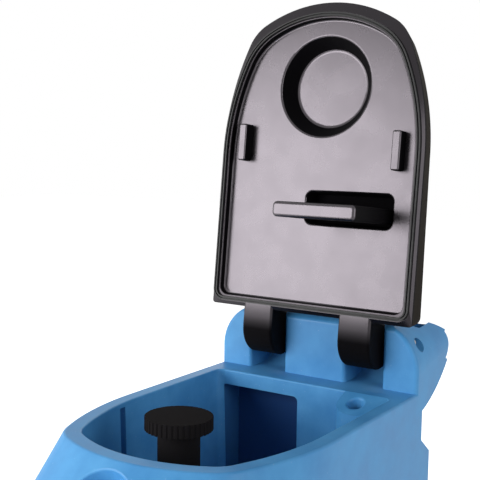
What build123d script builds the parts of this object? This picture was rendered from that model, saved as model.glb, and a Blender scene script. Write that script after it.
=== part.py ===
"""Wheeled wet vacuum: a blue moulded recovery tank with a tall hinge tower and a black hinged lid,
a standpipe with a float over the suction motor, and a dark base on two wheels and two casters.

Millimetres, +Z up, standing on z = 0. The nose points to -Y and the hinge tower stands at +Y.
Plan places are given as (u, v): u to the right, v from the closed lid's hinge edge towards the nose,
so the tank and the lid share one set of sizes. The lid is drawn open.
"""
import os
from math import cos, radians, sin, sqrt, tan

from build123d import *

os.makedirs("parts", exist_ok=True)

# Clearances
gap = 0.3            # between pieces that move past each other
running_fit = 0.05   # radial, pins and shafts in their bores

# Stance and plan of the tank
rim_height = 530.0      # rim above the floor
hinge_edge_y = 241.0    # hinge edge of the closed lid
half_width = 175.0      # rim and lid alike
shoulder_v = 248.0      # where the straight sides end
lid_length = 483.0
nose_overhang = 7.0     # lid past the rim at the nose
corner_radius = 67.0    # tight bend either side of the nose
side_turn = 24.0        # degrees turned by the long side arcs
corner_turn = 60.0      # degrees turned where the nose arc begins

# Tank walls
wall = 6.0
rim_width = 23.0
rim_edge = 4.0          # rounding of the rim's outer edge
mouth_edge = 2.5        # rounding of the rim's inner edge
hood_run = 140.0        # nose of the hood ahead of the rim
belt_depth = 140.0      # rim down to the foremost line of the hood
belt_side_turn = 10.0   # the hood's flanks run straighter at that line
tank_depth = 270.0      # rim down to the tank's lower edge
skirt_draw = 14.0       # lower edge drawn in at the nose
basin_depth = 230.0
basin_draft = 8.0       # basin wall drawn in at the floor
basin_corner = 14.0
deck_v = 39.0           # front edge of the deck before the tower
rear_wall_v = -25.5
rear_low_v = -58.5      # lower rear wall stands further back
rear_step_top = 75.0    # depths where the rear wall steps out
rear_step_low = 100.0
scoop_radius = 48.0     # round recess in the nose of the hood
scoop_floor = 40.0      # radius of its floor
scoop_depth = 24.0
scoop_down = 61.0       # below the rim, along the slope
scoop_edge = 3.0

# Alcove at the left of the back wall, and the inlet boss in the right rear corner
alcove_left = -147.0
alcove_right = -5.0
alcove_top = 24.0
alcove_back_v = -10.0
alcove_corner = 8.0
rib_v = 289.5           # upright groove in the left basin wall
rib_width = 13.0
rib_top = 7.0
rib_low = 170.0
rib_bite = 10.0
boss_u = 107.0
boss_v = 62.0
boss_radius = 29.0
boss_slope = 20.0       # degrees, top of the boss falling from the deck's edge
inlet_radius = 12.0
inlet_edge = 3.5
inlet_depth = 135.0
duct_wall = 6.0
drain_u = -76.0
drain_depth = 206.0
drain_radius = 13.0

# Hinge tower
tower_v = -3.5          # front face
tower_rise = 104.0
tower_corner = 75.0     # rounded upper corners
tower_edge = 6.0        # rounding of its front edges
grip_corner = 50.0      # upper corners at the back
grip_edge = 10.0
brow_back = 97.0        # places of the grip, from the hinge axis
brow_rise = 8.0
chin_back = 91.0
chin_drop = 40.0
crown_back = 54.0       # middle of the crown
crown_rise = 27.0
tip_back = 104.0        # hindmost point
tip_drop = 16.0
under_back = 50.0       # middle of the underside
under_drop = 74.0
tower_under = 29.5      # depth where the overhang leaves the rear wall
slot_inner = 55.0       # slots for the lid's arms
slot_outer = 117.5
slot_behind = 50.0      # slot reaches this far behind the hinge axis
trough_drop = 44.0      # hollow in the tower's top, below the crown
trough_front = 42.0     # behind the tower's front face
trough_back = 112.0
trough_half = 152.0
trough_corner = 20.0
tower_hollow_rise = 52.0
tower_hollow_back = 55.0

# Hinge
hinge_back = 30.4       # axis behind the hinge edge
hinge_rise = 69.7       # axis above the rim
seal_gap = 4.6          # closed lid's flange above the rim
lid_open = 96.4         # degrees from closed to open
pin_radius = 5.0
pin_half_length = 153.0
pin_recess = 10.0       # radius of the recess round each pin end
pin_recess_floor = 150.0
pin_cap_radius = 7.0
pin_cap_end = 157.0
bush_wall = 3.0
buffer_u = 35.0
buffer_ahead = 7.8      # ahead of the hinge axis
buffer_radius = 6.0
buffer_top = 113.0      # above the rim
buffer_seat = 101.0
buffer_stem = 3.0
buffer_stem_length = 10.0

# Lid
lid_depth = 46.0
lid_plate = 8.0         # flange plate of the liner
flange_drop = 3.5       # its edge falls away outside the gasket
flange_flat = 1.0       # level strip outside the gasket
lid_skin = 3.5
lid_rear_corner = 5.0
lid_back_corner = 16.0
lid_back_edge = 9.0     # rounding of the lid's outer edge
lid_shoulder_draw = 7.0
lid_nose_draw = 11.0
panel_recess = 12.4
panel_inset = 14.5
panel_inset_rear = 16.5
panel_inset_nose = 24.5
panel_corner = 14.0
panel_turn = 90.0       # bend either side of its nose
panel_lip = 1.5         # rounding where the flange turns down to the panel
panel_floor_edge = 3.0
seal_inset = 4.5        # gasket groove inside the flange edge
seal_inset_rear = 7.0
seal_inset_nose = 15.7
seal_width = 6.0
seal_corner = 18.0
seal_turn = 100.0
seal_groove = 4.0
seal_proud = 4.2
seal_rib = 2.0          # each of the gasket's two ribs
seal_rib_height = 3.0
well_v = 355.0
well_radius = 78.5
well_floor_radius = 62.0
well_floor = 38.0       # below the flange
well_rim = 4.0          # rounding of its upper edge
well_floor_edge = 8.0
tab_u = 134.0
right_tab_v = 256.5
left_tab_v = 265.5
tab_length = 59.0
tab_width = 13.8
tab_proud = 7.0
tab_edge = 3.0
tab_round = 2.5
pocket_u = 55.0
pocket_v = 166.0
pocket_length = 148.0
pocket_width = 52.0
pocket_corner = 12.0
pocket_draft = 8.0
pocket_rim = 3.0
baffle_u = 54.5
baffle_v = 159.0
baffle_length = 135.0
baffle_thick = 23.0
baffle_proud = 100.0
baffle_corner = 7.0
baffle_edge = 5.0
arm_inner = 58.5
arm_outer = 112.0
arm_radius = 43.9
arm_root = 6.0          # arm's overlap into the flange plate
arm_heel = 34.0         # depth of the arm's face against the cover
arm_round = 4.0

# Standpipe, float and cap
pipe_radius = 27.75
pipe_wall = 3.25
pipe_top = 16.7         # above the rim
pipe_foot = 258.0       # depth of the lower end
window_width = 22.0
window_height = 24.0
window_depth = 74.0     # depth of the windows' middle
collar_radius = 40.0
collar_height = 8.0
floor_seal = 3.0
nut_across = 84.0
nut_height = 14.0
float_stop_depth = 150.0
float_limit_depth = 60.0
float_stop_radius = 34.0
float_stop_height = 5.0
float_radius = 46.0
float_height = 40.0
float_slack = 1.25
cap_radius = 44.6
cap_bottom = 8.0        # above the rim
cap_top = 25.0
cap_edge = 0.8
flute_count = 40
flute_radius = 2.2
flute_bite = 1.2
cap_seal_height = 2.0

# Suction motor, hung under the standpipe
fan_radius = 73.0
fan_height = 60.0
fan_sheet = 2.0
fan_eye = 22.0
outlet_count = 8
outlet_width = 20.0
outlet_height = 8.0
motor_gasket_radius = 40.0
motor_gasket_height = 10.0
impeller_radius = 66.0
impeller_height = 16.0
impeller_plate = 2.0
vane_count = 7
vane_thick = 2.0
impeller_hub = 12.0
impeller_eye = 24.0
diffuser_thick = 4.0
shaft_radius = 5.0
frame_radius = 50.0
frame_wall = 4.0
frame_depth = 56.0
bracket_depth = 16.0
bearing_radius = 15.0
bearing_width = 8.0
stator_bore = 29.0
core_height = 30.0
core_below_frame = 17.0
air_gap = 1.0
commutator_radius = 14.0
commutator_height = 8.0
brush_size = 6.0
motor_plate_radius = 96.0
motor_plate_thick = 4.0
motor_post_circle = 84.0
motor_post_radius = 8.0

# Base housing
base_bottom = 116.0
base_wall = 5.0
base_half = 148.0
base_tip_v = 580.0
base_rear_v = -45.0
base_turn = 60.0        # plan radius of its front corners
base_corner = 20.0
base_edge = 10.0
flange_corner = 8.0
flange_thick = 6.0
flange_half = 172.5
flange_tip_v = 600.0
flange_rear_v = -56.5
screw_boss_u = 162.0
screw_boss_vs = (20.0, 230.0)
screw_boss_radius = 9.0
screw_boss_height = 26.0
screw_radius = 3.0
screw_head_radius = 5.5
screw_head_height = 4.0
screw_length = 22.0     # under the head
small_screw_radius = 2.0
small_head_radius = 4.0
small_head_height = 2.5
vent_width = 110.0
vent_height = 60.0
grille_border = 10.0
grille_thick = 4.0
grille_slot = 7.0
grille_slots = 5
foam_thick = 14.0

# Rear fittings
spigot_radius = 19.0
spigot_length = 45.0
spigot_flange = 32.0
spigot_flange_thick = 5.0
spigot_screw_circle = 26.0
drain_spigot_radius = 20.0
drain_spigot_length = 26.0
drain_flange = 27.0
drain_cap_radius = 26.0
drain_cap_length = 30.0
drain_cap_roof = 5.0
switch_u = -10.0
switch_depth = 150.0
switch_width = 20.0
switch_height = 28.0
switch_lip = 3.0
switch_body = 22.0
rocker_radius = 11.0
rocker_tilt = 10.0      # degrees either side of level
rocker_face = 3.0
gland_u = 40.0
gland_hole = 8.0
gland_hex = 24.0
gland_bore = 4.5
gland_dome = 14.0

# Wheels and casters
axle_radius = 8.0
axle_v = 0.0
wheel_radius = 100.0
wheel_width = 40.0
wheel_inner = 152.0
rim_radius = 72.0
hub_radius = 20.0
hub_web = 10.0
spoke_count = 6
tyre_edge = 8.0
block_outer = 144.0
block_width = 26.0
block_length = 60.0
block_height = 30.0
block_screw_pitch = 40.0
spacer_radius = 13.0
axle_end = 3.0          # axle past the hub
axle_cap_radius = 13.0
axle_cap_thick = 6.0
caster_u = 80.0
caster_v = 450.0
caster_trail = 28.0
caster_radius = 40.0
caster_width = 28.0
caster_rim = 27.0
caster_axle = 4.0
caster_plate_thick = 4.0
caster_plate_side = 68.0
caster_screw_pitch = 54.0
kingpin_radius = 6.0
kingpin_head = 10.0
fork_top = 10.0
fork_leg = 3.0
fork_boss = 9.0
fork_crown = 22.0

# Places in the frame
rim_plane = Plane(origin=(0, hinge_edge_y, rim_height), x_dir=(1, 0, 0), z_dir=(0, 0, -1))
hinge_y = hinge_edge_y + hinge_back
hinge_z = rim_height + hinge_rise
axis_over_flange = hinge_rise - seal_gap
open_cos = cos(radians(lid_open))
open_sin = sin(radians(lid_open))
lid_origin = (
    0,
    hinge_y - hinge_back * open_cos - axis_over_flange * open_sin,
    hinge_z + hinge_back * open_sin - axis_over_flange * open_cos,
)
lid_plane = Plane(origin=lid_origin, x_dir=(1, 0, 0), z_dir=(0, -open_sin, -open_cos))
arm_plane = Plane(origin=lid_origin, x_dir=tuple(lid_plane.y_dir), z_dir=(1, 0, 0))
rim_tip = lid_length - nose_overhang
belt_tip = rim_tip + hood_run
skirt_tip = belt_tip - skirt_draw
top_z = rim_height - tank_depth
rear_face_y = hinge_edge_y - rear_low_v
vent_z = (base_bottom + top_z) / 2
along_y = Plane.XZ
bottom_up = (Align.CENTER, Align.CENTER, Align.MIN)
top_down = (Align.CENTER, Align.CENTER, Align.MAX)


def back(v):
    """Y of a plan place given as v."""
    return hinge_edge_y - v


def up(depth):
    """Z of a place given as a depth below the rim."""
    return rim_height - depth


def nose_outline(inset=0.0, tip_v=lid_length, rear_v=0.0, half=half_width, shoulder=None,
                 turn=corner_radius, bend=side_turn, rear_corner=0.0):
    """Plan face: straight rear and sides, then a side arc, a tight corner and a blunt nose arc."""
    side = (half if shoulder is None else shoulder) - inset
    rear = half - inset
    tight = turn - inset
    c1, s1 = cos(radians(bend)), sin(radians(bend))
    c2, s2 = cos(radians(corner_turn)), sin(radians(corner_turn))
    across = side - tight * (c1 - c2)
    along = tip_v - inset - shoulder_v - tight * (s2 - s1)
    spread = (1 - c1) * (1 - s2) - c2 * s1
    side_radius = (across * (1 - s2) - c2 * along) / spread
    nose_radius = ((1 - c1) * along - s1 * across) / spread
    with BuildSketch() as outline:
        with BuildLine():
            edge = Line((rear, rear_v), (side, shoulder_v))
            flank = JernArc(edge @ 1, (0, 1), side_radius, bend)
            corner = JernArc(flank @ 1, flank % 1, tight, corner_turn - bend)
            JernArc(corner @ 1, corner % 1, nose_radius, 90 - corner_turn)
            mirror(about=Plane.YZ)
            Line((-rear, rear_v), (rear, rear_v))
        make_face()
        if rear_corner > 0:
            fillet(outline.vertices().group_by(Axis.Y)[0], rear_corner)
    return outline.sketch


def facing_side(x, y, z):
    """Plane facing +X, its own x along +Y and y along +Z."""
    return Plane(origin=(x, y, z), x_dir=(0, 1, 0), z_dir=(1, 0, 0))


def keep(piece, node):
    """Label a finished piece and write it."""
    piece.part.label = node
    export_step(piece.part, f"parts/{node}.step")


# Hood of the tank: the rim flares forward to the belt, then a skirt draws in
with BuildPart() as hood:
    with BuildSketch(rim_plane):
        add(nose_outline(tip_v=rim_tip, rear_v=rear_wall_v))
    with BuildSketch(rim_plane.offset(belt_depth)):
        add(nose_outline(tip_v=belt_tip, rear_v=rear_wall_v, bend=belt_side_turn))
    loft(ruled=True)
    fillet(hood.edges().group_by(Axis.Z)[-1], rim_edge)
    with BuildSketch(rim_plane.offset(belt_depth)):
        add(nose_outline(tip_v=belt_tip, rear_v=rear_wall_v, bend=belt_side_turn))
    with BuildSketch(rim_plane.offset(tank_depth)):
        add(nose_outline(tip_v=skirt_tip, rear_v=rear_wall_v))
    loft(ruled=True)
    with BuildSketch(Plane.YZ):
        with BuildLine():
            Polyline(
                (back(rear_wall_v), up(rear_step_top)),
                (back(rear_low_v), up(rear_step_low)),
                (back(rear_low_v), up(tank_depth)),
                (back(rear_wall_v), up(tank_depth)),
                close=True,
            )
        make_face()
    extrude(amount=half_width, both=True)

# Space between the hood's skin and the basin, open below
with BuildPart() as hood_space:
    inner_rear = rear_wall_v + wall
    with BuildSketch(rim_plane.offset(wall)):
        add(nose_outline(inset=wall, tip_v=rim_tip, rear_v=inner_rear))
    with BuildSketch(rim_plane.offset(belt_depth)):
        add(nose_outline(inset=wall, tip_v=belt_tip, rear_v=inner_rear, bend=belt_side_turn))
    loft(ruled=True)
    with BuildSketch(rim_plane.offset(belt_depth)):
        add(nose_outline(inset=wall, tip_v=belt_tip, rear_v=inner_rear, bend=belt_side_turn))
    with BuildSketch(rim_plane.offset(tank_depth)):
        add(nose_outline(inset=wall, tip_v=skirt_tip, rear_v=inner_rear))
    loft(ruled=True)
    with BuildSketch(Plane.YZ):
        with BuildLine():
            Polyline(
                (back(inner_rear), up(rear_step_top + wall)),
                (back(rear_low_v + wall), up(rear_step_low + wall)),
                (back(rear_low_v + wall), up(tank_depth)),
                (back(inner_rear), up(tank_depth)),
                close=True,
            )
        make_face()
    extrude(amount=half_width - wall, both=True)

# Hinge tower: a side profile with an overhang to push by, crossed with an outline rounded at the top
front_y = back(tower_v)
knuckle = tower_rise - hinge_rise
with BuildPart() as tower:
    with BuildSketch(Plane.YZ):
        with BuildLine():
            reach = hinge_y - front_y
            front = Line((front_y, up(2 * wall)), (front_y, hinge_z + sqrt(knuckle**2 - reach**2)))
            crown = (hinge_y, hinge_z + knuckle)
            brow = (hinge_y + brow_back, hinge_z + brow_rise)
            chin = (hinge_y + chin_back, hinge_z - chin_drop)
            under = (back(rear_wall_v), up(tower_under))
            lean = radians(25)
            ThreePointArc(front @ 1, (hinge_y - knuckle * sin(lean), hinge_z + knuckle * cos(lean)), crown)
            ThreePointArc(crown, (hinge_y + crown_back, hinge_z + crown_rise), brow)
            ThreePointArc(brow, (hinge_y + tip_back, hinge_z - tip_drop), chin)
            ThreePointArc(chin, (hinge_y + under_back, hinge_z - under_drop), under)
            Polyline(under, (back(rear_wall_v), up(2 * wall)), (front_y, up(2 * wall)))
        make_face()
    extrude(amount=half_width, both=True)
    for y, corner in ((front_y - 1, tower_corner), (hinge_y + tip_back + 1, grip_corner)):
        with BuildSketch(along_y.offset(-y)) as tower_outline:
            with Locations((0, rim_height + tower_rise)):
                Rectangle(2 * half_width, 2 * tower_rise, align=(Align.CENTER, Align.MAX))
            fillet(tower_outline.vertices().group_by(Axis.Y)[-1], corner)
    loft(ruled=True, mode=Mode.INTERSECT)
    slot_floor = sqrt(hinge_rise**2 - slot_behind**2)
    for side in (1, -1):
        with BuildSketch(Plane.YZ.offset(side * slot_inner)):
            with BuildLine():
                heel = (hinge_y + slot_behind, hinge_z - slot_floor)
                turn = radians(20)
                Line((front_y - wall, rim_height), (hinge_y, rim_height))
                ThreePointArc(
                    (hinge_y, rim_height),
                    (hinge_y + hinge_rise * sin(turn), hinge_z - hinge_rise * cos(turn)),
                    heel,
                )
                Polyline(
                    heel,
                    (hinge_y + slot_behind, rim_height + 2 * tower_rise),
                    (front_y - wall, rim_height + 2 * tower_rise),
                    (front_y - wall, rim_height),
                )
            make_face()
        extrude(amount=side * (slot_outer - slot_inner), mode=Mode.SUBTRACT)
    with BuildSketch(Plane.XY.offset(rim_height + tower_rise - trough_drop)):
        with Locations((0, front_y + (trough_front + trough_back) / 2)):
            RectangleRounded(2 * trough_half, trough_back - trough_front, trough_corner)
    extrude(amount=tower_rise, mode=Mode.SUBTRACT)
    front_edges = tower.edges().filter_by_position(Axis.Y, front_y - 0.1, front_y + 0.1)
    front_edges = front_edges.filter_by_position(Axis.Z, rim_height + 1, hinge_z + knuckle)
    fillet(front_edges, tower_edge)
    fillet(tower.faces().sort_by(Axis.Y)[-1].edges(), grip_edge)


# Recovery tank: the skin and the tower, hollowed, then the basin, the alcove and the ducts
basin_half = half_width - rim_width
slope = sqrt(hood_run**2 + belt_depth**2)
scoop_plane = Plane(
    origin=(0, back(rim_tip + scoop_down * hood_run / slope), up(scoop_down * belt_depth / slope)),
    x_dir=(1, 0, 0),
    z_dir=(0, -belt_depth, hood_run),
)
buffer_y = hinge_y - buffer_ahead
buffer_places = [(side * buffer_u, buffer_y, rim_height + buffer_seat) for side in (1, -1)]
screw_places = [(side * screw_boss_u, back(v)) for side in (1, -1) for v in screw_boss_vs]


def scoop_block(grow=0.0):
    """Tapering round recess in the nose of the hood, or its outside."""
    floor = scoop_floor + grow
    height = 2 * scoop_depth
    flare = (scoop_radius - scoop_floor) / scoop_depth
    with BuildPart(scoop_plane) as block:
        with Locations((0, 0, -scoop_depth - grow)):
            Cone(floor, floor + flare * height, height, align=bottom_up)
        rounds = block.edges().filter_by(GeomType.CIRCLE)
        fillet([edge for edge in rounds if abs(edge.radius - floor) < 0.01], 2 * scoop_edge)
    return block.part


with BuildPart() as inlet_boss:
    boss_front = boss_v + boss_radius
    with BuildSketch(rim_plane):
        with Locations((boss_u, boss_v)):
            Circle(boss_radius)
        with Locations((boss_u, deck_v - wall / 2)):
            Rectangle(boss_radius, boss_v - deck_v + wall / 2, align=(Align.MAX, Align.MIN))
            to_wall = basin_half - boss_u + wall / 2
            to_front = boss_front - deck_v + wall / 2
            Rectangle(to_wall, to_front, align=(Align.MIN, Align.MIN))
    extrude(amount=basin_depth + wall / 2)
    with BuildSketch(Plane.YZ):
        with BuildLine():
            fall = (boss_front + wall - deck_v) * tan(radians(boss_slope))
            Polyline(
                (back(deck_v - wall), rim_height),
                (back(deck_v), rim_height),
                (back(boss_front + wall), up(fall)),
                (back(boss_front + wall), up(2 * basin_depth)),
                (back(deck_v - wall), up(2 * basin_depth)),
                close=True,
            )
        make_face()
    extrude(amount=half_width, both=True, mode=Mode.INTERSECT)

with BuildPart() as recovery_tank:
    add(hood.part)
    add(tower.part)
    add(hood_space.part, mode=Mode.SUBTRACT)
    ear_width = half_width - slot_outer - 3 * wall
    hollow_length = tower_hollow_back - tower_v - wall
    for place, width in ((0, 2 * (slot_inner - wall)), (1, ear_width), (-1, ear_width)):
        with Locations((place * (slot_outer + wall + ear_width / 2), front_y + wall, up(wall + 1))):
            Box(width, hollow_length, tower_hollow_rise + wall + 1,
                align=(Align.CENTER, Align.MIN, Align.MIN), mode=Mode.SUBTRACT)

    with BuildSketch(rim_plane.offset(1)):
        add(nose_outline(inset=rim_width - wall, tip_v=rim_tip, rear_v=deck_v - wall,
                         rear_corner=basin_corner))
    with BuildSketch(rim_plane.offset(basin_depth + wall)):
        add(nose_outline(inset=rim_width - wall + basin_draft, tip_v=rim_tip, rear_v=deck_v - wall,
                         rear_corner=basin_corner))
    loft(ruled=True)
    alcove_u = (alcove_left + alcove_right) / 2
    alcove_width = alcove_right - alcove_left
    alcove_height = basin_depth - alcove_top
    with Locations((alcove_u, back(deck_v), up(basin_depth + wall))):
        Box(alcove_width + 2 * wall, deck_v - alcove_back_v + wall, alcove_height + 2 * wall,
            align=(Align.CENTER, Align.MIN, Align.MIN))
    for place, depth, radius, start in (
        (boss_u, inlet_depth, inlet_radius, deck_v),
        (drain_u, drain_depth, drain_radius, alcove_back_v - wall),
    ):
        with BuildSketch(along_y.offset(-back(start))):
            with Locations((place, up(depth))):
                Circle(radius + duct_wall)
        extrude(amount=start - rear_low_v - 1, dir=(0, 1, 0))
    with Locations(*[(x, y, top_z) for x, y in screw_places]):
        Cylinder(screw_boss_radius, screw_boss_height, align=bottom_up)

    add(hood.part & scoop_block(wall))
    with Locations((-basin_half, back(rib_v), up(rib_low + wall))):
        Box(2 * (rib_bite + wall), rib_width + 2 * wall, rib_low - rib_top + 2 * wall, align=bottom_up)

    with BuildSketch(rim_plane):
        add(nose_outline(inset=rim_width, tip_v=rim_tip, rear_v=deck_v, rear_corner=basin_corner))
    with BuildSketch(rim_plane.offset(basin_depth)):
        add(nose_outline(inset=rim_width + basin_draft, tip_v=rim_tip, rear_v=deck_v,
                         rear_corner=basin_corner))
    loft(ruled=True, mode=Mode.SUBTRACT)
    level_faces = recovery_tank.faces().filter_by(Axis.Z)
    rim_faces = level_faces.filter_by_position(Axis.Z, rim_height - 0.1, rim_height + 0.1)
    fillet(rim_faces.sort_by(SortBy.AREA)[-1].inner_wires()[0].edges(), mouth_edge)
    with Locations((-basin_half, back(rib_v), up(rib_low))):
        Box(2 * rib_bite, rib_width, rib_low - rib_top, align=bottom_up, mode=Mode.SUBTRACT)
    with BuildSketch(along_y.offset(-back(deck_v + 1))):
        with Locations((alcove_u, up(alcove_top + alcove_height / 2))):
            RectangleRounded(alcove_width, alcove_height, alcove_corner)
    extrude(amount=deck_v + 1 - alcove_back_v, dir=(0, 1, 0), mode=Mode.SUBTRACT)

    add(inlet_boss.part)
    with Locations((boss_u, back(boss_v), rim_height)):
        Cylinder(inlet_radius, inlet_depth, align=top_down, mode=Mode.SUBTRACT)
    fillet(recovery_tank.edges(Select.LAST).filter_by(GeomType.ELLIPSE), inlet_edge)
    for place, depth, radius, start in (
        (boss_u, inlet_depth, inlet_radius, boss_v),
        (drain_u, drain_depth, drain_radius, alcove_back_v + 1),
    ):
        with BuildSketch(along_y.offset(-back(start))):
            with Locations((place, up(depth))):
                Circle(radius)
        extrude(amount=start - rear_low_v + 1, dir=(0, 1, 0), mode=Mode.SUBTRACT)
    with Locations((0, back(well_v), up(basin_depth))):
        Cylinder(pipe_radius + gap, 4 * wall, mode=Mode.SUBTRACT)
    add(scoop_block(), mode=Mode.SUBTRACT)
    mouth = [edge for edge in recovery_tank.edges(Select.LAST)
             if scoop_plane.to_local_coords(edge @ 0.5).Z > -scoop_depth / 2]
    fillet(mouth, scoop_edge)

    with Locations((0, hinge_y, hinge_z)):
        Cylinder(pin_radius, 2 * half_width, rotation=(0, 90, 0), mode=Mode.SUBTRACT)
    recess = half_width - pin_recess_floor
    for side in (1, -1):
        with Locations((side * (pin_recess_floor + recess / 2), hinge_y, hinge_z)):
            Cylinder(pin_recess, recess, rotation=(0, 90, 0), mode=Mode.SUBTRACT)
    with Locations(*buffer_places):
        Cylinder(buffer_radius + gap, tower_rise, align=bottom_up, mode=Mode.SUBTRACT)
        Cylinder(buffer_stem, buffer_stem_length, align=top_down, mode=Mode.SUBTRACT)
    with Locations(*[(x, y, top_z) for x, y in screw_places]):
        Cylinder(screw_radius, screw_length - flange_thick, align=bottom_up, mode=Mode.SUBTRACT)
    with BuildSketch(along_y.offset(-rear_face_y - 1)):
        with Locations((boss_u, up(inlet_depth))):
            with PolarLocations(spigot_screw_circle, 4, start_angle=45):
                Circle(small_screw_radius)
        with Locations((switch_u, up(switch_depth))):
            Rectangle(switch_width, switch_height)
        with Locations((gland_u, up(switch_depth))):
            Circle(gland_hole)
    extrude(amount=wall + 2, dir=(0, -1, 0), mode=Mode.SUBTRACT)

keep(recovery_tank, "recovery_tank")


# Lid liner: flange plate, recessed panel, well over the standpipe cap, pocket, tabs and hinge arms
def panel_outline(grow=0.0):
    """Outline of the recessed panel, or of its skin's outside."""
    return nose_outline(inset=-grow, half=half_width - panel_inset, tip_v=lid_length - panel_inset_nose,
                        rear_v=panel_inset_rear - grow, turn=panel_turn,
                        rear_corner=panel_corner + grow)


def seal_outline(inset=0.0):
    """Outline of the gasket groove, from its outer edge inwards."""
    return nose_outline(inset=inset, half=half_width - seal_inset, tip_v=lid_length - seal_inset_nose,
                        rear_v=seal_inset_rear + inset, turn=seal_turn,
                        rear_corner=seal_corner - inset)


def well_block(grow=0.0):
    """Tapering round well, or its outside."""
    height = well_floor - panel_recess
    with BuildPart(lid_plane) as block:
        with Locations((0, well_v, -well_floor - grow)):
            Cone(well_floor_radius + grow, well_radius + grow, height + grow, align=bottom_up)
    return block.part


def pocket_block(grow=0.0):
    """Tapering pocket that holds the splash baffle, or its outside."""
    with BuildPart() as block:
        for depth, draft in ((panel_recess, 0), (well_floor + grow, pocket_draft)):
            with BuildSketch(lid_plane.offset(-depth)):
                with Locations((pocket_u, pocket_v)):
                    RectangleRounded(pocket_length + 2 * grow - draft, pocket_width + 2 * grow - draft,
                                     pocket_corner + grow - draft / 2)
        loft(ruled=True)
    return block.part


axis_v = -hinge_back
axis_n = -axis_over_flange
boss_size = 2 * arm_radius - axis_over_flange
bush_radius = pin_radius + running_fit + bush_wall
lid_normal = Axis(lid_origin, tuple(lid_plane.z_dir))


def at_height(edges, n):
    """Those edges that lie at one height over the lid's flange."""
    return [edge for edge in edges if abs(lid_plane.to_local_coords(edge @ 0.5).Z - n) < 0.01]


def hinge_arm(start):
    """Arm that leaves the hinge edge level with the flange and curls round the pin."""
    foot = (axis_v, -2 * arm_radius)
    knuckle_end = (axis_v + boss_size, axis_n)
    toe = radians(45)
    with BuildPart() as arm:
        with BuildSketch(arm_plane.offset(start)):
            with BuildLine():
                front = Line((arm_root, 0), (axis_v, 0))
                ThreePointArc(front @ 1, (axis_v - arm_radius, -arm_radius), foot)
                knuckle_mid = (axis_v + boss_size * cos(toe), axis_n - boss_size * sin(toe))
                ThreePointArc(foot, knuckle_mid, knuckle_end)
                heel = Line(knuckle_end, (0, -arm_heel))
                Polyline((0, -arm_heel), (0, -lid_plate), (arm_root, -lid_plate), (arm_root, 0))
            make_face()
        extrude(amount=arm_outer - arm_inner)
        rims = arm.faces().filter_by(Axis.X).edges()
        curved = rims.filter_by(GeomType.CIRCLE)
        straight = [edge for edge in rims
                    if min(abs(edge.length - front.length), abs(edge.length - heel.length)) < 0.01]
        fillet(curved + straight, arm_round)
        with Locations((start + (arm_outer - arm_inner) / 2, hinge_y, hinge_z)):
            Cylinder(bush_radius, 2 * arm_outer, rotation=(0, 90, 0), mode=Mode.SUBTRACT)
    return arm.part


with BuildPart() as lid_liner:
    with BuildSketch(lid_plane.offset(-lid_plate)):
        add(nose_outline(rear_corner=lid_rear_corner))
    extrude(amount=lid_plate - flange_drop)
    with BuildSketch(lid_plane.offset(-flange_drop)):
        add(nose_outline(rear_corner=lid_rear_corner))
    with BuildSketch(lid_plane):
        add(seal_outline(-flange_flat))
    loft(ruled=True)
    with BuildSketch(lid_plane.offset(-lid_plate)):
        add(panel_outline(lid_skin))
    extrude(amount=-(panel_recess + lid_skin - lid_plate))
    with BuildSketch(lid_plane):
        add(panel_outline())
    extrude(amount=-panel_recess, mode=Mode.SUBTRACT)
    flange = lid_liner.faces().filter_by(lid_normal).sort_by(lid_normal)[-1]
    fillet(flange.inner_wires()[0].edges(), panel_lip)
    fillet(at_height(lid_liner.edges(), -panel_recess), panel_floor_edge)
    add(well_block(lid_skin))
    add(pocket_block(lid_skin))
    add(well_block(), mode=Mode.SUBTRACT)
    for radius, rounding in ((well_radius, well_rim), (well_floor_radius, well_floor_edge)):
        circles = lid_liner.edges().filter_by(GeomType.CIRCLE)
        fillet([edge for edge in circles if abs(edge.radius - radius) < 0.01], rounding)
    before = at_height(lid_liner.edges(), -panel_recess)
    add(pocket_block(), mode=Mode.SUBTRACT)
    rim = [edge for edge in at_height(lid_liner.edges(), -panel_recess)
           if all((edge.center() - old.center()).length > 0.01 for old in before)]
    fillet(rim, pocket_rim)
    with BuildSketch(lid_plane):
        add(seal_outline())
        add(seal_outline(seal_width), mode=Mode.SUBTRACT)
    extrude(amount=-seal_groove, mode=Mode.SUBTRACT)
    with BuildSketch(lid_plane.offset(-panel_recess - 1)):
        with Locations((tab_u, right_tab_v), (-tab_u, left_tab_v)):
            RectangleRounded(tab_width, tab_length, tab_edge)
    extrude(amount=panel_recess + 1 + tab_proud)
    fillet(at_height(lid_liner.edges(), tab_proud), tab_round)
    add(hinge_arm(arm_inner))
    add(hinge_arm(-arm_outer))
keep(lid_liner, "lid_liner")

# Lid cover: the deep outer shell, drawn in towards its back
with BuildPart() as lid_cover:
    with BuildSketch(lid_plane.offset(-lid_plate)):
        add(nose_outline(rear_corner=lid_rear_corner))
    with BuildSketch(lid_plane.offset(-lid_depth)):
        add(nose_outline(half=half_width - 1, shoulder=half_width - lid_shoulder_draw,
                         tip_v=lid_length - lid_nose_draw, rear_corner=lid_back_corner))
    loft(ruled=True)
    fillet(lid_cover.edges().group_by(lid_normal)[0], lid_back_edge)
    with BuildSketch(lid_plane.offset(-lid_plate)):
        add(nose_outline(inset=lid_skin, rear_v=lid_skin, rear_corner=lid_rear_corner))
    with BuildSketch(lid_plane.offset(-lid_depth + lid_skin)):
        add(nose_outline(inset=lid_back_edge, half=half_width - 1, shoulder=half_width - lid_shoulder_draw,
                         tip_v=lid_length - lid_nose_draw, rear_v=lid_back_edge,
                         rear_corner=lid_rear_corner))
    loft(ruled=True, mode=Mode.SUBTRACT)
keep(lid_cover, "lid_cover")

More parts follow.
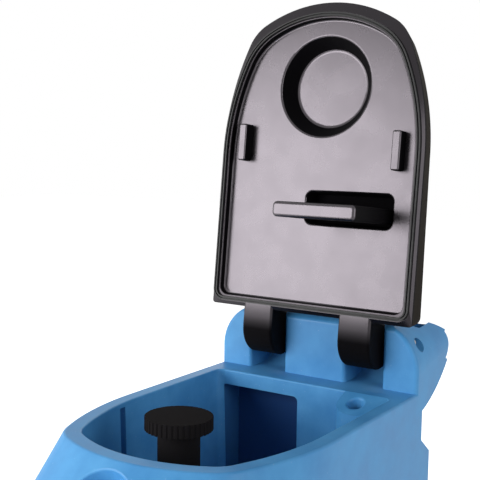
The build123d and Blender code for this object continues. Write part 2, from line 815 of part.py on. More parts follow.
# Lid gasket: a soft ring with two ribs, pressed in the flange groove
with BuildPart() as lid_gasket:
    with BuildSketch(lid_plane.offset(-seal_groove)):
        add(seal_outline())
        add(seal_outline(seal_width), mode=Mode.SUBTRACT)
    extrude(amount=seal_groove + seal_proud)
    with BuildSketch(lid_plane.offset(seal_proud)):
        add(seal_outline(seal_rib))
        add(seal_outline(seal_width - seal_rib), mode=Mode.SUBTRACT)
    extrude(amount=-seal_rib_height, mode=Mode.SUBTRACT)
keep(lid_gasket, "lid_gasket")

# Splash baffle: a plate standing in the lid's pocket
with BuildPart() as splash_baffle:
    with BuildSketch(lid_plane.offset(-well_floor)):
        with Locations((baffle_u, baffle_v)):
            RectangleRounded(baffle_length, baffle_thick, baffle_corner)
    extrude(amount=well_floor + baffle_proud)
    fillet(splash_baffle.edges().group_by(lid_normal)[-1], baffle_edge)
keep(splash_baffle, "splash_baffle")

# Hinge: bushes in the lid's arms, one long pin through the tower, its end caps and the lid's buffers
with BuildPart() as hinge_bushes:
    for side in (1, -1):
        with Locations((side * (arm_inner + arm_outer) / 2, hinge_y, hinge_z)):
            Cylinder(bush_radius, arm_outer - arm_inner, rotation=(0, 90, 0))
            arm_width = arm_outer - arm_inner
            Cylinder(pin_radius + running_fit, arm_width, rotation=(0, 90, 0), mode=Mode.SUBTRACT)
keep(hinge_bushes, "hinge_bushes")

with BuildPart() as hinge_pin:
    with Locations((0, hinge_y, hinge_z)):
        Cylinder(pin_radius, 2 * pin_half_length, rotation=(0, 90, 0))
keep(hinge_pin, "hinge_pin")

with BuildPart() as hinge_pin_caps:
    for side in (1, -1):
        with Locations((side * (pin_recess_floor + pin_cap_end) / 2, hinge_y, hinge_z)):
            Cylinder(pin_cap_radius, pin_cap_end - pin_recess_floor, rotation=(0, 90, 0))
    with Locations((0, hinge_y, hinge_z)):
        Cylinder(pin_radius, 2 * pin_half_length, rotation=(0, 90, 0), mode=Mode.SUBTRACT)
    fillet(hinge_pin_caps.edges().group_by(Axis.X)[0] + hinge_pin_caps.edges().group_by(Axis.X)[-1], 2)
keep(hinge_pin_caps, "hinge_pin_caps")

with BuildPart() as lid_buffers:
    with Locations(*buffer_places):
        Cylinder(buffer_radius, buffer_top - buffer_seat, align=bottom_up)
        Cylinder(buffer_stem, buffer_stem_length, align=top_down)
keep(lid_buffers, "lid_buffers")

# Standpipe through the basin floor, with its seal, nut, float and screw cap
pipe_y = back(well_v)
pipe_axis = Plane(origin=(0, pipe_y, 0), z_dir=(0, 0, 1))
pipe_foot_z = up(pipe_foot)
floor_z = up(basin_depth)
float_stop_z = up(float_stop_depth)
with BuildPart(pipe_axis) as standpipe:
    with Locations((0, 0, pipe_foot_z)):
        Cylinder(pipe_radius, rim_height + pipe_top - pipe_foot_z, align=bottom_up)
    with Locations((0, 0, floor_z + floor_seal)):
        Cylinder(collar_radius, collar_height, align=bottom_up)
    with Locations((0, 0, float_stop_z)):
        Cylinder(float_stop_radius, float_stop_height, align=top_down)
    with Locations((0, 0, up(float_limit_depth))):
        Cylinder(float_stop_radius, float_stop_height, align=bottom_up)
    with Locations((0, 0, pipe_foot_z)):
        Cylinder(pipe_radius - pipe_wall, 2 * rim_height, align=bottom_up, mode=Mode.SUBTRACT)
    with Locations((0, 0, up(window_depth))):
        Box(window_width, 3 * pipe_radius, window_height, mode=Mode.SUBTRACT)
        Box(3 * pipe_radius, window_width, window_height, mode=Mode.SUBTRACT)
keep(standpipe, "standpipe")

with BuildPart(pipe_axis) as standpipe_seal:
    with Locations((0, 0, floor_z)):
        Cylinder(collar_radius, floor_seal, align=bottom_up)
        Cylinder(pipe_radius, floor_seal, align=bottom_up, mode=Mode.SUBTRACT)
keep(standpipe_seal, "standpipe_seal")

with BuildPart() as standpipe_nut:
    with BuildSketch(pipe_axis.offset(floor_z - wall)):
        RegularPolygon(nut_across / 2, 6, major_radius=False)
        Circle(pipe_radius, mode=Mode.SUBTRACT)
    extrude(amount=-nut_height)
keep(standpipe_nut, "standpipe_nut")

with BuildPart(pipe_axis) as float_ring:
    with Locations((0, 0, float_stop_z)):
        Cylinder(float_radius, float_height, align=bottom_up)
        Cylinder(pipe_radius + float_slack, float_height, align=bottom_up, mode=Mode.SUBTRACT)
    fillet(float_ring.edges(), 4)
keep(float_ring, "float_ring")

with BuildPart(pipe_axis) as standpipe_cap:
    with Locations((0, 0, rim_height + cap_bottom)):
        Cylinder(cap_radius, cap_top - cap_bottom, align=bottom_up)
    fillet(standpipe_cap.edges().group_by(Axis.Z)[-1], cap_edge)
    with Locations((0, 0, rim_height + cap_bottom)):
        with PolarLocations(cap_radius + flute_radius - flute_bite, flute_count):
            Cylinder(flute_radius, cap_top, align=bottom_up, mode=Mode.SUBTRACT)
    with Locations((0, 0, rim_height + pipe_top + cap_seal_height)):
        Cylinder(pipe_radius + gap, cap_top, align=top_down, mode=Mode.SUBTRACT)
keep(standpipe_cap, "standpipe_cap")

with BuildPart(pipe_axis) as cap_seal:
    with Locations((0, 0, rim_height + pipe_top)):
        Cylinder(pipe_radius + gap, cap_seal_height, align=bottom_up)
        Cylinder(pipe_radius - 2 * pipe_wall, cap_seal_height, align=bottom_up, mode=Mode.SUBTRACT)
keep(cap_seal, "cap_seal")

# Suction motor: a two-stage fan in a tin housing over a universal motor
fan_top = pipe_foot_z - motor_gasket_height
fan_bottom = fan_top - fan_height
frame_bottom = fan_bottom - frame_depth
upper_wheel_z = fan_top - 3 * fan_sheet
lower_wheel_z = upper_wheel_z - 30
diffuser_z = upper_wheel_z - impeller_height - 5
core_top = fan_bottom - core_below_frame
shaft_bottom = frame_bottom - bracket_depth + frame_wall
with BuildPart(pipe_axis) as motor_gasket:
    with Locations((0, 0, fan_top)):
        Cylinder(motor_gasket_radius, motor_gasket_height, align=bottom_up)
        Cylinder(fan_eye, motor_gasket_height, align=bottom_up, mode=Mode.SUBTRACT)
keep(motor_gasket, "motor_gasket")

with BuildPart(pipe_axis) as fan_housing:
    with Locations((0, 0, fan_bottom)):
        Cylinder(fan_radius, fan_height, align=bottom_up)
    fillet(fan_housing.edges().group_by(Axis.Z)[-1], 4)
    with Locations((0, 0, fan_bottom + fan_sheet)):
        Cylinder(fan_radius - fan_sheet, fan_height - 2 * fan_sheet, align=bottom_up, mode=Mode.SUBTRACT)
    with Locations((0, 0, fan_top)):
        Cylinder(fan_eye, fan_height / 2, align=top_down, mode=Mode.SUBTRACT)
    with Locations((0, 0, fan_bottom)):
        Cylinder(impeller_hub, fan_height / 2, align=bottom_up, mode=Mode.SUBTRACT)
    with Locations((0, 0, fan_bottom + outlet_height)):
        with PolarLocations(fan_radius, outlet_count):
            Box(4 * fan_sheet, outlet_width, outlet_height, mode=Mode.SUBTRACT)
keep(fan_housing, "fan_housing")


def impeller(top, node):
    """Closed fan wheel with straight raked vanes between two plates."""
    with BuildPart(pipe_axis) as wheel:
        with Locations((0, 0, top)):
            Cylinder(impeller_radius, impeller_height, align=top_down)
        with Locations((0, 0, top - impeller_plate)):
            Cylinder(impeller_radius, impeller_height - 2 * impeller_plate, align=top_down,
                     mode=Mode.SUBTRACT)
        with Locations((0, 0, top)):
            Cylinder(impeller_eye, impeller_height / 2, align=top_down, mode=Mode.SUBTRACT)
            Cylinder(impeller_hub, impeller_height, align=top_down)
        vane_length = impeller_radius - impeller_eye - 4
        with Locations((0, 0, top - impeller_height / 2)):
            with PolarLocations(impeller_eye + vane_length / 2 + 2, vane_count):
                Box(vane_length, vane_thick, impeller_height - impeller_plate, rotation=(0, 0, 25))
        with Locations((0, 0, top)):
            Cylinder(shaft_radius, impeller_height, align=top_down, mode=Mode.SUBTRACT)
    keep(wheel, node)


impeller(upper_wheel_z, "upper_impeller")
impeller(lower_wheel_z, "lower_impeller")

with BuildPart(pipe_axis) as diffuser_plate:
    with Locations((0, 0, diffuser_z)):
        Cylinder(fan_radius - fan_sheet, diffuser_thick, align=top_down)
        Cylinder(impeller_eye, diffuser_thick, align=top_down, mode=Mode.SUBTRACT)
keep(diffuser_plate, "diffuser_plate")

with BuildPart(pipe_axis) as motor_shaft:
    with Locations((0, 0, shaft_bottom)):
        Cylinder(shaft_radius, upper_wheel_z + 1 - shaft_bottom, align=bottom_up)
keep(motor_shaft, "motor_shaft")

with BuildPart(pipe_axis) as motor_frame:
    with Locations((0, 0, fan_bottom)):
        Cylinder(frame_radius, frame_depth, align=top_down)
    with Locations((0, 0, fan_bottom - frame_wall)):
        Cylinder(frame_radius - frame_wall, frame_depth, align=top_down, mode=Mode.SUBTRACT)
        Cylinder(bearing_radius + frame_wall, bearing_width, align=top_down)
        Cylinder(bearing_radius, bearing_width, align=top_down, mode=Mode.SUBTRACT)
    with Locations((0, 0, fan_bottom)):
        Cylinder(shaft_radius + 2, frame_depth, mode=Mode.SUBTRACT)
keep(motor_frame, "motor_frame")

with BuildPart(pipe_axis) as motor_end_bracket:
    with Locations((0, 0, frame_bottom)):
        Cylinder(frame_radius, bracket_depth, align=top_down)
    with Locations((0, 0, frame_bottom - bracket_depth + frame_wall)):
        Cylinder(frame_radius - frame_wall, bracket_depth, align=bottom_up, mode=Mode.SUBTRACT)
        Cylinder(bearing_radius + frame_wall, bearing_width, align=bottom_up)
        Cylinder(bearing_radius, bearing_width, align=bottom_up, mode=Mode.SUBTRACT)
keep(motor_end_bracket, "motor_end_bracket")

with BuildPart(pipe_axis) as motor_bearings:
    for bearing_bottom in (fan_bottom - frame_wall - bearing_width, shaft_bottom):
        with Locations((0, 0, bearing_bottom)):
            Cylinder(bearing_radius, bearing_width, align=bottom_up)
            Cylinder(shaft_radius + running_fit, bearing_width, align=bottom_up, mode=Mode.SUBTRACT)
keep(motor_bearings, "motor_bearings")

with BuildPart(pipe_axis) as stator_core:
    with Locations((0, 0, core_top)):
        Cylinder(frame_radius - frame_wall, core_height, align=top_down)
        Cylinder(stator_bore, core_height, align=top_down, mode=Mode.SUBTRACT)
keep(stator_core, "stator_core")

with BuildPart(pipe_axis) as armature:
    with Locations((0, 0, core_top)):
        Cylinder(stator_bore - air_gap, core_height, align=top_down)
    with Locations((0, 0, core_top - core_height)):
        Cylinder(commutator_radius, commutator_height + 2, align=top_down)
    with Locations((0, 0, core_top)):
        Cylinder(shaft_radius, 2 * frame_depth, mode=Mode.SUBTRACT)
keep(armature, "armature")

brush_z = core_top - core_height - commutator_height / 2 - 1
brush_start = commutator_radius + gap
brush_end = sqrt((frame_radius - frame_wall) ** 2 - brush_size**2) - gap
with BuildPart(pipe_axis) as carbon_brushes:
    for side in (1, -1):
        with Locations((side * (brush_start + brush_end) / 2, 0, brush_z)):
            Box(brush_end - brush_start, brush_size, brush_size)
keep(carbon_brushes, "carbon_brushes")

motor_post_places = [(side * motor_post_circle / sqrt(2), fore * motor_post_circle / sqrt(2))
                     for side in (1, -1) for fore in (1, -1)]
with BuildPart(pipe_axis) as motor_plate:
    with Locations((0, 0, fan_bottom)):
        Cylinder(motor_plate_radius, motor_plate_thick, align=top_down)
        Cylinder(frame_radius, motor_plate_thick, align=top_down, mode=Mode.SUBTRACT)
    with Locations(*[(x, y, fan_bottom) for x, y in motor_post_places]):
        Cylinder(screw_radius, 4 * motor_plate_thick, mode=Mode.SUBTRACT)
keep(motor_plate, "motor_plate")

with BuildPart(pipe_axis) as motor_screws:
    with Locations(*[(x, y, fan_bottom) for x, y in motor_post_places]):
        Cylinder(screw_head_radius, screw_head_height, align=bottom_up)
        Cylinder(screw_radius, screw_length, align=top_down)
keep(motor_screws, "motor_screws")

# Base housing: a box open at the top, with a flange under the tank's lower edge
floor_top = base_bottom + base_wall
caster_places = [(side * caster_u, back(caster_v)) for side in (1, -1)]
caster_screw_places = [(x + side * caster_screw_pitch / 2, y + fore * caster_screw_pitch / 2)
                       for x, y in caster_places for side in (1, -1) for fore in (1, -1)]
block_u = block_outer - block_width / 2
axle_y = back(axle_v)
block_screw_places = [(side * block_u, axle_y + fore * block_screw_pitch / 2)
                      for side in (1, -1) for fore in (1, -1)]
base_back_y = back(base_rear_v)
grille_width = vent_width + 2 * grille_border
grille_height = vent_height + 2 * grille_border
grille_screw_u = (vent_width + grille_border) / 2
grille_screw_rise = (vent_height + grille_border) / 2
grille_screw_places = [(side * grille_screw_u, vent_z + rise * grille_screw_rise)
                       for side in (1, -1) for rise in (1, -1)]
lower_edge = rim_plane.offset(tank_depth)
with BuildPart() as base_housing:
    with BuildSketch(lower_edge):
        add(nose_outline(half=base_half, tip_v=base_tip_v, rear_v=base_rear_v, turn=base_turn,
                         rear_corner=base_corner))
    extrude(amount=top_z - base_bottom)
    fillet(base_housing.edges().group_by(Axis.Z)[0], base_edge)
    with BuildSketch(lower_edge):
        add(nose_outline(half=flange_half, tip_v=flange_tip_v, rear_v=flange_rear_v,
                         rear_corner=flange_corner))
    extrude(amount=flange_thick)
    with BuildSketch(lower_edge):
        add(nose_outline(inset=base_wall, half=base_half, tip_v=base_tip_v, rear_v=base_rear_v + base_wall,
                         turn=base_turn, rear_corner=base_corner - base_wall))
    extrude(amount=top_z - floor_top, mode=Mode.SUBTRACT)
    with Locations(*[(x, pipe_y + y, base_bottom + 1) for x, y in motor_post_places]):
        Cylinder(motor_post_radius, fan_bottom - motor_plate_thick - base_bottom - 1, align=bottom_up)
    with Locations(*[(x, pipe_y + y, fan_bottom) for x, y in motor_post_places]):
        Cylinder(screw_radius, screw_length, align=top_down, mode=Mode.SUBTRACT)
    with Locations(*[(x, y, top_z) for x, y in screw_places]):
        Cylinder(screw_radius, 4 * flange_thick, mode=Mode.SUBTRACT)
    with Locations(*[(x, y, base_bottom) for x, y in block_screw_places]):
        Cylinder(screw_radius, 2 * (base_wall - 2), mode=Mode.SUBTRACT)
    with Locations(*[(x, y, base_bottom) for x, y in caster_screw_places]):
        Cylinder(small_screw_radius, 2 * (base_wall - 2), mode=Mode.SUBTRACT)
    with Locations((0, base_back_y, vent_z)):
        Box(vent_width, 4 * base_wall, vent_height, mode=Mode.SUBTRACT)
    with BuildSketch(along_y.offset(-base_back_y)):
        with Locations(*grille_screw_places):
            Circle(small_screw_radius)
    extrude(amount=base_wall - 1, dir=(0, -1, 0), mode=Mode.SUBTRACT)
keep(base_housing, "base_housing")

with BuildPart() as base_screws:
    with Locations(*[(x, y, top_z - flange_thick) for x, y in screw_places]):
        Cylinder(screw_head_radius, screw_head_height, align=top_down)
        Cylinder(screw_radius, screw_length, align=bottom_up)
keep(base_screws, "base_screws")

# Exhaust: a foam filter in the rear opening behind a screwed grille
with BuildPart() as exhaust_foam:
    with Locations((0, base_back_y - foam_thick / 2, vent_z)):
        Box(vent_width, foam_thick, vent_height)
keep(exhaust_foam, "exhaust_foam")

with BuildPart() as exhaust_grille:
    with BuildSketch(along_y.offset(-base_back_y)):
        with Locations((0, vent_z)):
            RectangleRounded(grille_width, grille_height, grille_border / 2)
            with GridLocations(0, vent_height / grille_slots, 1, grille_slots):
                SlotOverall(vent_width, grille_slot, mode=Mode.SUBTRACT)
        with Locations(*grille_screw_places):
            Circle(small_screw_radius, mode=Mode.SUBTRACT)
    extrude(amount=grille_thick, dir=(0, 1, 0))
keep(exhaust_grille, "exhaust_grille")


def rear_screws(places, seat_y, length, node):
    """Small screws driven forwards, heads standing on a rear face."""
    with BuildPart() as screws:
        head = (small_head_radius, small_head_height, 1)
        shank = (small_screw_radius, length, -1)
        for radius, reach, way in (head, shank):
            with BuildSketch(along_y.offset(-seat_y)):
                with Locations(*places):
                    Circle(radius)
            extrude(amount=reach, dir=(0, way, 0))
    keep(screws, node)


rear_screws(grille_screw_places, base_back_y + grille_thick, grille_thick + base_wall - 1, "grille_screws")

# Hose inlet: a flanged spigot on the lower rear wall
inlet_place = (boss_u, up(inlet_depth))
spigot_screw_places = [(boss_u + side * spigot_screw_circle / sqrt(2),
                        up(inlet_depth) + rise * spigot_screw_circle / sqrt(2))
                       for side in (1, -1) for rise in (1, -1)]
with BuildPart() as inlet_spigot:
    for radius, length in ((spigot_flange, spigot_flange_thick), (spigot_radius, spigot_length)):
        with BuildSketch(along_y.offset(-rear_face_y)):
            with Locations(inlet_place):
                Circle(radius)
        extrude(amount=length, dir=(0, 1, 0))
    with BuildSketch(along_y.offset(-rear_face_y)):
        with Locations(inlet_place):
            Circle(inlet_radius + 1)
        with Locations(*spigot_screw_places):
            Circle(small_screw_radius)
    extrude(amount=2 * spigot_length, dir=(0, 1, 0), mode=Mode.SUBTRACT)
    fillet(inlet_spigot.edges().group_by(Axis.Y)[-1], 1.5)
keep(inlet_spigot, "inlet_spigot")
rear_screws(spigot_screw_places, rear_face_y + spigot_flange_thick, spigot_flange_thick + wall - 1,
            "inlet_screws")

# Drain: a spigot low on the rear wall and its screw cap
drain_place = (drain_u, up(drain_depth))
with BuildPart() as drain_spigot:
    for radius, length in ((drain_flange, spigot_flange_thick), (drain_spigot_radius, drain_spigot_length)):
        with BuildSketch(along_y.offset(-rear_face_y)):
            with Locations(drain_place):
                Circle(radius)
        extrude(amount=length, dir=(0, 1, 0))
    with BuildSketch(along_y.offset(-rear_face_y)):
        with Locations(drain_place):
            Circle(drain_radius)
    extrude(amount=2 * drain_spigot_length, dir=(0, 1, 0), mode=Mode.SUBTRACT)
keep(drain_spigot, "drain_spigot")

drain_cap_start = rear_face_y + spigot_flange_thick + 2 * gap
with BuildPart() as drain_cap:
    with BuildSketch(along_y.offset(-drain_cap_start)):
        with Locations(drain_place):
            Circle(drain_cap_radius)
            with PolarLocations(drain_cap_radius + flute_radius - flute_bite, flute_count // 2):
                Circle(flute_radius, mode=Mode.SUBTRACT)
    extrude(amount=drain_cap_length, dir=(0, 1, 0))
    with BuildSketch(along_y.offset(-drain_cap_start)):
        with Locations(drain_place):
            Circle(drain_spigot_radius + gap)
    extrude(amount=drain_cap_length - drain_cap_roof, dir=(0, 1, 0), mode=Mode.SUBTRACT)
keep(drain_cap, "drain_cap")

# Switch and cable gland on the rear wall
switch_place = (switch_u, up(switch_depth))
pivot_y = rear_face_y - 2
with BuildPart() as switch_frame:
    for width, height, reach, way in (
        (switch_width + 2 * switch_lip, switch_height + 2 * switch_lip, 2, 1),
        (switch_width, switch_height, switch_body, -1),
    ):
        with BuildSketch(along_y.offset(-rear_face_y)):
            with Locations(switch_place):
                Rectangle(width, height)
        extrude(amount=reach, dir=(0, way, 0))
    with BuildSketch(along_y.offset(-rear_face_y - 2)):
        with Locations(switch_place):
            Rectangle(switch_width - 3, switch_height - 3)
    extrude(amount=switch_body - 4, dir=(0, -1, 0), mode=Mode.SUBTRACT)
keep(switch_frame, "switch_frame")

with BuildPart() as switch_rocker:
    with BuildSketch(facing_side(switch_u - switch_width / 2 + 2, pivot_y, up(switch_depth))):
        with BuildLine():
            pressed = PolarLine((0, 0), rocker_radius, 90 - rocker_tilt, mode=Mode.PRIVATE) @ 1
            raised = PolarLine((0, 0), rocker_radius, 3 * rocker_tilt - 90, mode=Mode.PRIVATE) @ 1
            ThreePointArc(pressed, (-rocker_radius, 0), raised)
            Polyline(raised, (rocker_face, 0), pressed)
        make_face()
    extrude(amount=switch_width - 4)
keep(switch_rocker, "switch_rocker")

with BuildPart() as cable_gland:
    with BuildSketch(along_y.offset(-rear_face_y)):
        with Locations((gland_u, up(switch_depth))):
            RegularPolygon(gland_hex / 2, 6, major_radius=False)
    extrude(amount=gland_dome / 2, dir=(0, 1, 0))
    for radius, reach, way in ((gland_hex / 2 - 1.5, gland_dome, 1), (gland_hole, 2 * wall, -1)):
        with BuildSketch(along_y.offset(-rear_face_y)):
            with Locations((gland_u, up(switch_depth))):
                Circle(radius)
        extrude(amount=reach, dir=(0, way, 0))
    fillet(cable_gland.edges().group_by(Axis.Y)[-1], 4)
    with BuildSketch(along_y.offset(-rear_face_y - 2 * gland_dome)):
        with Locations((gland_u, up(switch_depth))):
            Circle(gland_bore)
    extrude(amount=4 * gland_dome, dir=(0, -1, 0), mode=Mode.SUBTRACT)
keep(cable_gland, "cable_gland")

# Rear axle in two blocks under the base, with a wheel at each end
axle_z = wheel_radius
wheel_outer = wheel_inner + wheel_width
with BuildPart() as axle_blocks:
    for side in (1, -1):
        with Locations((side * block_u, axle_y, base_bottom)):
            Box(block_width, block_length, block_height, align=top_down)
    with Locations((0, axle_y, axle_z)):
        Cylinder(axle_radius, 2 * block_outer, rotation=(0, 90, 0), mode=Mode.SUBTRACT)
    with Locations(*[(x, y, base_bottom) for x, y in block_screw_places]):
        Cylinder(screw_radius, 3 * block_height, mode=Mode.SUBTRACT)
keep(axle_blocks, "axle_blocks")

with BuildPart() as axle_block_screws:
    with Locations(*[(x, y, base_bottom - block_height) for x, y in block_screw_places]):
        Cylinder(screw_head_radius, screw_head_height, align=top_down)
        Cylinder(screw_radius, block_height + base_wall - 2, align=bottom_up)
keep(axle_block_screws, "axle_block_screws")

with BuildPart() as rear_axle:
    with Locations((0, axle_y, axle_z)):
        Cylinder(axle_radius, 2 * (wheel_outer + axle_end), rotation=(0, 90, 0))
keep(rear_axle, "rear_axle")

with BuildPart() as wheel_spacers:
    for side in (1, -1):
        with Locations((side * (block_outer + wheel_inner - gap) / 2, axle_y, axle_z)):
            Cylinder(spacer_radius, wheel_inner - gap - block_outer, rotation=(0, 90, 0))
            Cylinder(axle_radius, wheel_width, rotation=(0, 90, 0), mode=Mode.SUBTRACT)
keep(wheel_spacers, "wheel_spacers")

with BuildPart() as axle_caps:
    for side in (1, -1):
        with Locations((side * (wheel_outer + gap + axle_cap_thick / 2), axle_y, axle_z)):
            Cylinder(axle_cap_radius, axle_cap_thick, rotation=(0, 90, 0))
    fillet(axle_caps.edges().group_by(Axis.X)[0] + axle_caps.edges().group_by(Axis.X)[-1], 2)
    with Locations((0, axle_y, axle_z)):
        Cylinder(axle_radius, 2 * (wheel_outer + axle_end), rotation=(0, 90, 0), mode=Mode.SUBTRACT)
keep(axle_caps, "axle_caps")


def tyre(middle, inner, outer, width, edge, node):
    """Solid rubber ring with rounded shoulders."""
    with BuildPart(middle) as ring:
        Cylinder(outer, width)
        fillet(ring.edges(), edge)
        Cylinder(inner, 2 * width, mode=Mode.SUBTRACT)
    keep(ring, node)


def rear_wheel(side, name):
    """Moulded wheel centre with a web, a hub and round lightening holes, and its tyre."""
    middle = facing_side(side * (wheel_inner + wheel_width / 2), axle_y, axle_z)
    with BuildPart(middle) as centre:
        Cylinder(rim_radius, wheel_width - 4)
        for place in (1, -1):
            with Locations((0, 0, place * (wheel_width + hub_web) / 2)):
                Cylinder(rim_radius - hub_web, wheel_width, mode=Mode.SUBTRACT)
        Cylinder(hub_radius, wheel_width)
        with PolarLocations((rim_radius - hub_web + hub_radius) / 2, spoke_count):
            Cylinder(hub_web * 1.4, wheel_width, mode=Mode.SUBTRACT)
        Cylinder(axle_radius + running_fit, 2 * wheel_width, mode=Mode.SUBTRACT)
    keep(centre, name + "_wheel")
    tyre(middle, rim_radius, wheel_radius, wheel_width, tyre_edge, name + "_tyre")


rear_wheel(1, "right")
rear_wheel(-1, "left")

# Swivel casters under the nose
plate_bottom = base_bottom - caster_plate_thick
crown_top = plate_bottom - 2
crown_bottom = crown_top - fork_top
with BuildPart() as caster_plates:
    with Locations(*[(x, y, base_bottom) for x, y in caster_places]):
        Box(caster_plate_side, caster_plate_side, caster_plate_thick, align=top_down)
    with Locations(*[(x, y, plate_bottom) for x, y in caster_places]):
        Cylinder(2 * kingpin_radius, 2 - gap, align=top_down)
        Cylinder(kingpin_radius, 2 + fork_top + gap, align=top_down)
    with Locations(*[(x, y, crown_bottom - gap) for x, y in caster_places]):
        Cylinder(kingpin_head, screw_head_height, align=top_down)
    with Locations(*[(x, y, base_bottom) for x, y in caster_screw_places]):
        Cylinder(small_screw_radius, 4 * caster_plate_thick, mode=Mode.SUBTRACT)
keep(caster_plates, "caster_plates")

with BuildPart() as caster_screws:
    with Locations(*[(x, y, plate_bottom) for x, y in caster_screw_places]):
        Cylinder(small_head_radius, small_head_height, align=top_down)
        Cylinder(small_screw_radius, caster_plate_thick + base_wall - 2, align=bottom_up)
keep(caster_screws, "caster_screws")

leg_inner = caster_width / 2 + 1.5
leg_outer = leg_inner + fork_leg


def caster(place, name):
    """Trailing fork with its axle, wheel centre and tyre."""
    x, y = place
    with BuildPart() as fork:
        with Locations((x, y, crown_top)):
            Box(2 * leg_outer, 2 * fork_crown, fork_top, align=top_down)
        for start in (leg_inner, -leg_outer):
            with BuildSketch(Plane.YZ.offset(x + start)):
                with BuildSketch(mode=Mode.PRIVATE) as leg:
                    with Locations((y, crown_top - fork_top / 2)):
                        Rectangle(2 * fork_crown, fork_top)
                    with Locations((y + caster_trail, caster_radius)):
                        Circle(fork_boss)
                add(make_hull(leg.sketch.edges(), mode=Mode.PRIVATE))
            extrude(amount=fork_leg)
        with Locations((x, y + caster_trail, caster_radius)):
            Cylinder(caster_axle, 2 * leg_outer, rotation=(0, 90, 0))
        with Locations((x, y, crown_top)):
            Cylinder(kingpin_radius + running_fit, 4 * fork_top, mode=Mode.SUBTRACT)
    keep(fork, name + "_caster_fork")
    middle = facing_side(x, y + caster_trail, caster_radius)
    with BuildPart(middle) as centre:
        Cylinder(caster_rim, caster_width)
        for side in (1, -1):
            with Locations((0, 0, side * caster_width / 2)):
                Cylinder(caster_rim - 4, 8, mode=Mode.SUBTRACT)
        Cylinder(fork_boss, caster_width + 2)
        Cylinder(caster_axle + running_fit, 2 * caster_width, mode=Mode.SUBTRACT)
    keep(centre, name + "_caster_wheel")
    tyre(middle, caster_rim, caster_radius, caster_width, 5, name + "_caster_tyre")


caster(caster_places[0], "right")
caster(caster_places[1], "left")
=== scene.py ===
"""Looks of the wheeled wet vacuum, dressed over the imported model, with the photo's camera and light."""
import math

import bpy
from mathutils import Matrix, Vector


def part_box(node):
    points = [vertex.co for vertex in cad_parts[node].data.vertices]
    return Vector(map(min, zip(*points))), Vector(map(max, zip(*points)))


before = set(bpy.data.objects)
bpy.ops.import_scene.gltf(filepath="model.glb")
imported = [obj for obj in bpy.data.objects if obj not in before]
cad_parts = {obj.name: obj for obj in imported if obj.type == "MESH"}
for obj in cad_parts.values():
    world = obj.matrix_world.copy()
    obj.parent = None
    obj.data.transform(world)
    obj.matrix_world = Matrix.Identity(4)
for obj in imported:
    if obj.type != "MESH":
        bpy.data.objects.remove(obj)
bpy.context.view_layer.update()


# Base housing: a dark grey polypropylene tub that carries the motor, the axle and the casters.
# Injection moulded in a spark-eroded tool, which leaves a fine leathery grain,
# and screwed up into the tank through its flange.
def linear(code):
    """sRGB hex to linear RGBA."""
    parts = [int(code[i:i + 2], 16) / 255 for i in (1, 3, 5)]
    return [p / 12.92 if p <= 0.04045 else ((p + 0.055) / 1.055) ** 2.4 for p in parts] + [1.0]


def add_node(tree, kind, values=None, links=None, **settings):
    """One node with its settings, its fixed inputs and its links."""
    node = tree.nodes.new(kind)
    for name, value in settings.items():
        setattr(node, name, value)
    for name, value in (values or {}).items():
        node.inputs[name].default_value = value
    for name, socket in (links or {}).items():
        tree.links.new(socket, node.inputs[name])
    return node


def new_finish(name, **sockets):
    """A material with its shader's fixed sockets set, and its mesh coordinates in metres."""
    material = bpy.data.materials.new(name)
    material.use_nodes = True
    tree = material.node_tree
    shader = tree.nodes["Principled BSDF"]
    for socket, value in sockets.items():
        shader.inputs[socket.replace("_", " ")].default_value = value
    place = add_node(tree, "ShaderNodeTexCoord").outputs["Object"]
    return material, tree, shader, place


def per_metre(size_mm):
    """Pattern scale for features of a real size."""
    return 1000.0 / size_mm


def surface_from(tree, shader, pattern, shades, rough, relief_mm, strength=0.4):
    """Colour, roughness and relief of one finish from one pattern."""
    tone = add_node(tree, "ShaderNodeMix", {"A": linear(shades[0]), "B": linear(shades[1])},
                    {"Factor": pattern}, data_type="RGBA")
    tree.links.new(tone.outputs["Result"], shader.inputs["Base Color"])
    polish = add_node(tree, "ShaderNodeMapRange", {"To Min": rough[0], "To Max": rough[1]},
                      {"Value": pattern})
    tree.links.new(polish.outputs["Result"], shader.inputs["Roughness"])
    relief = add_node(tree, "ShaderNodeBump", {"Strength": strength, "Distance": relief_mm / 1000},
                      {"Height": pattern})
    tree.links.new(relief.outputs["Normal"], shader.inputs["Normal"])


def dress(material, *names):
    """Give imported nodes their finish."""
    for name in names:
        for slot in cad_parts[name].material_slots:
            slot.material = material


leather_mm = 1.1
grained_grey, tree, shader, place = new_finish("grey_grained_polypropylene", IOR=1.49,
                                               Specular_IOR_Level=0.35)
leather = add_node(tree, "ShaderNodeTexVoronoi", {"Scale": per_metre(leather_mm)}, {"Vector": place})
surface_from(tree, shader, leather.outputs["Distance"], shades=("#26282A", "#34363A"),
             rough=(0.48, 0.62), relief_mm=0.12)
dress(grained_grey, "base_housing")

# Screws of the whole machine: pan heads of mild steel, zinc plated and passivated.
# The plating is bright but not polished, with a faint crystal bloom drawn 1.5 mm wide so that it shows.
bloom_mm = 1.5
zinc_plate, tree, shader, place = new_finish("zinc_plated_steel", Metallic=1.0)
bloom = add_node(tree, "ShaderNodeTexNoise", {"Scale": per_metre(bloom_mm), "Detail": 4.0},
                 {"Vector": place})
surface_from(tree, shader, bloom.outputs["Fac"], shades=("#9EA1A6", "#BFC1C4"),
             rough=(0.26, 0.40), relief_mm=0.03)
dress(zinc_plate, "base_screws", "inlet_screws", "grille_screws", "axle_block_screws", "caster_screws",
      "motor_screws")

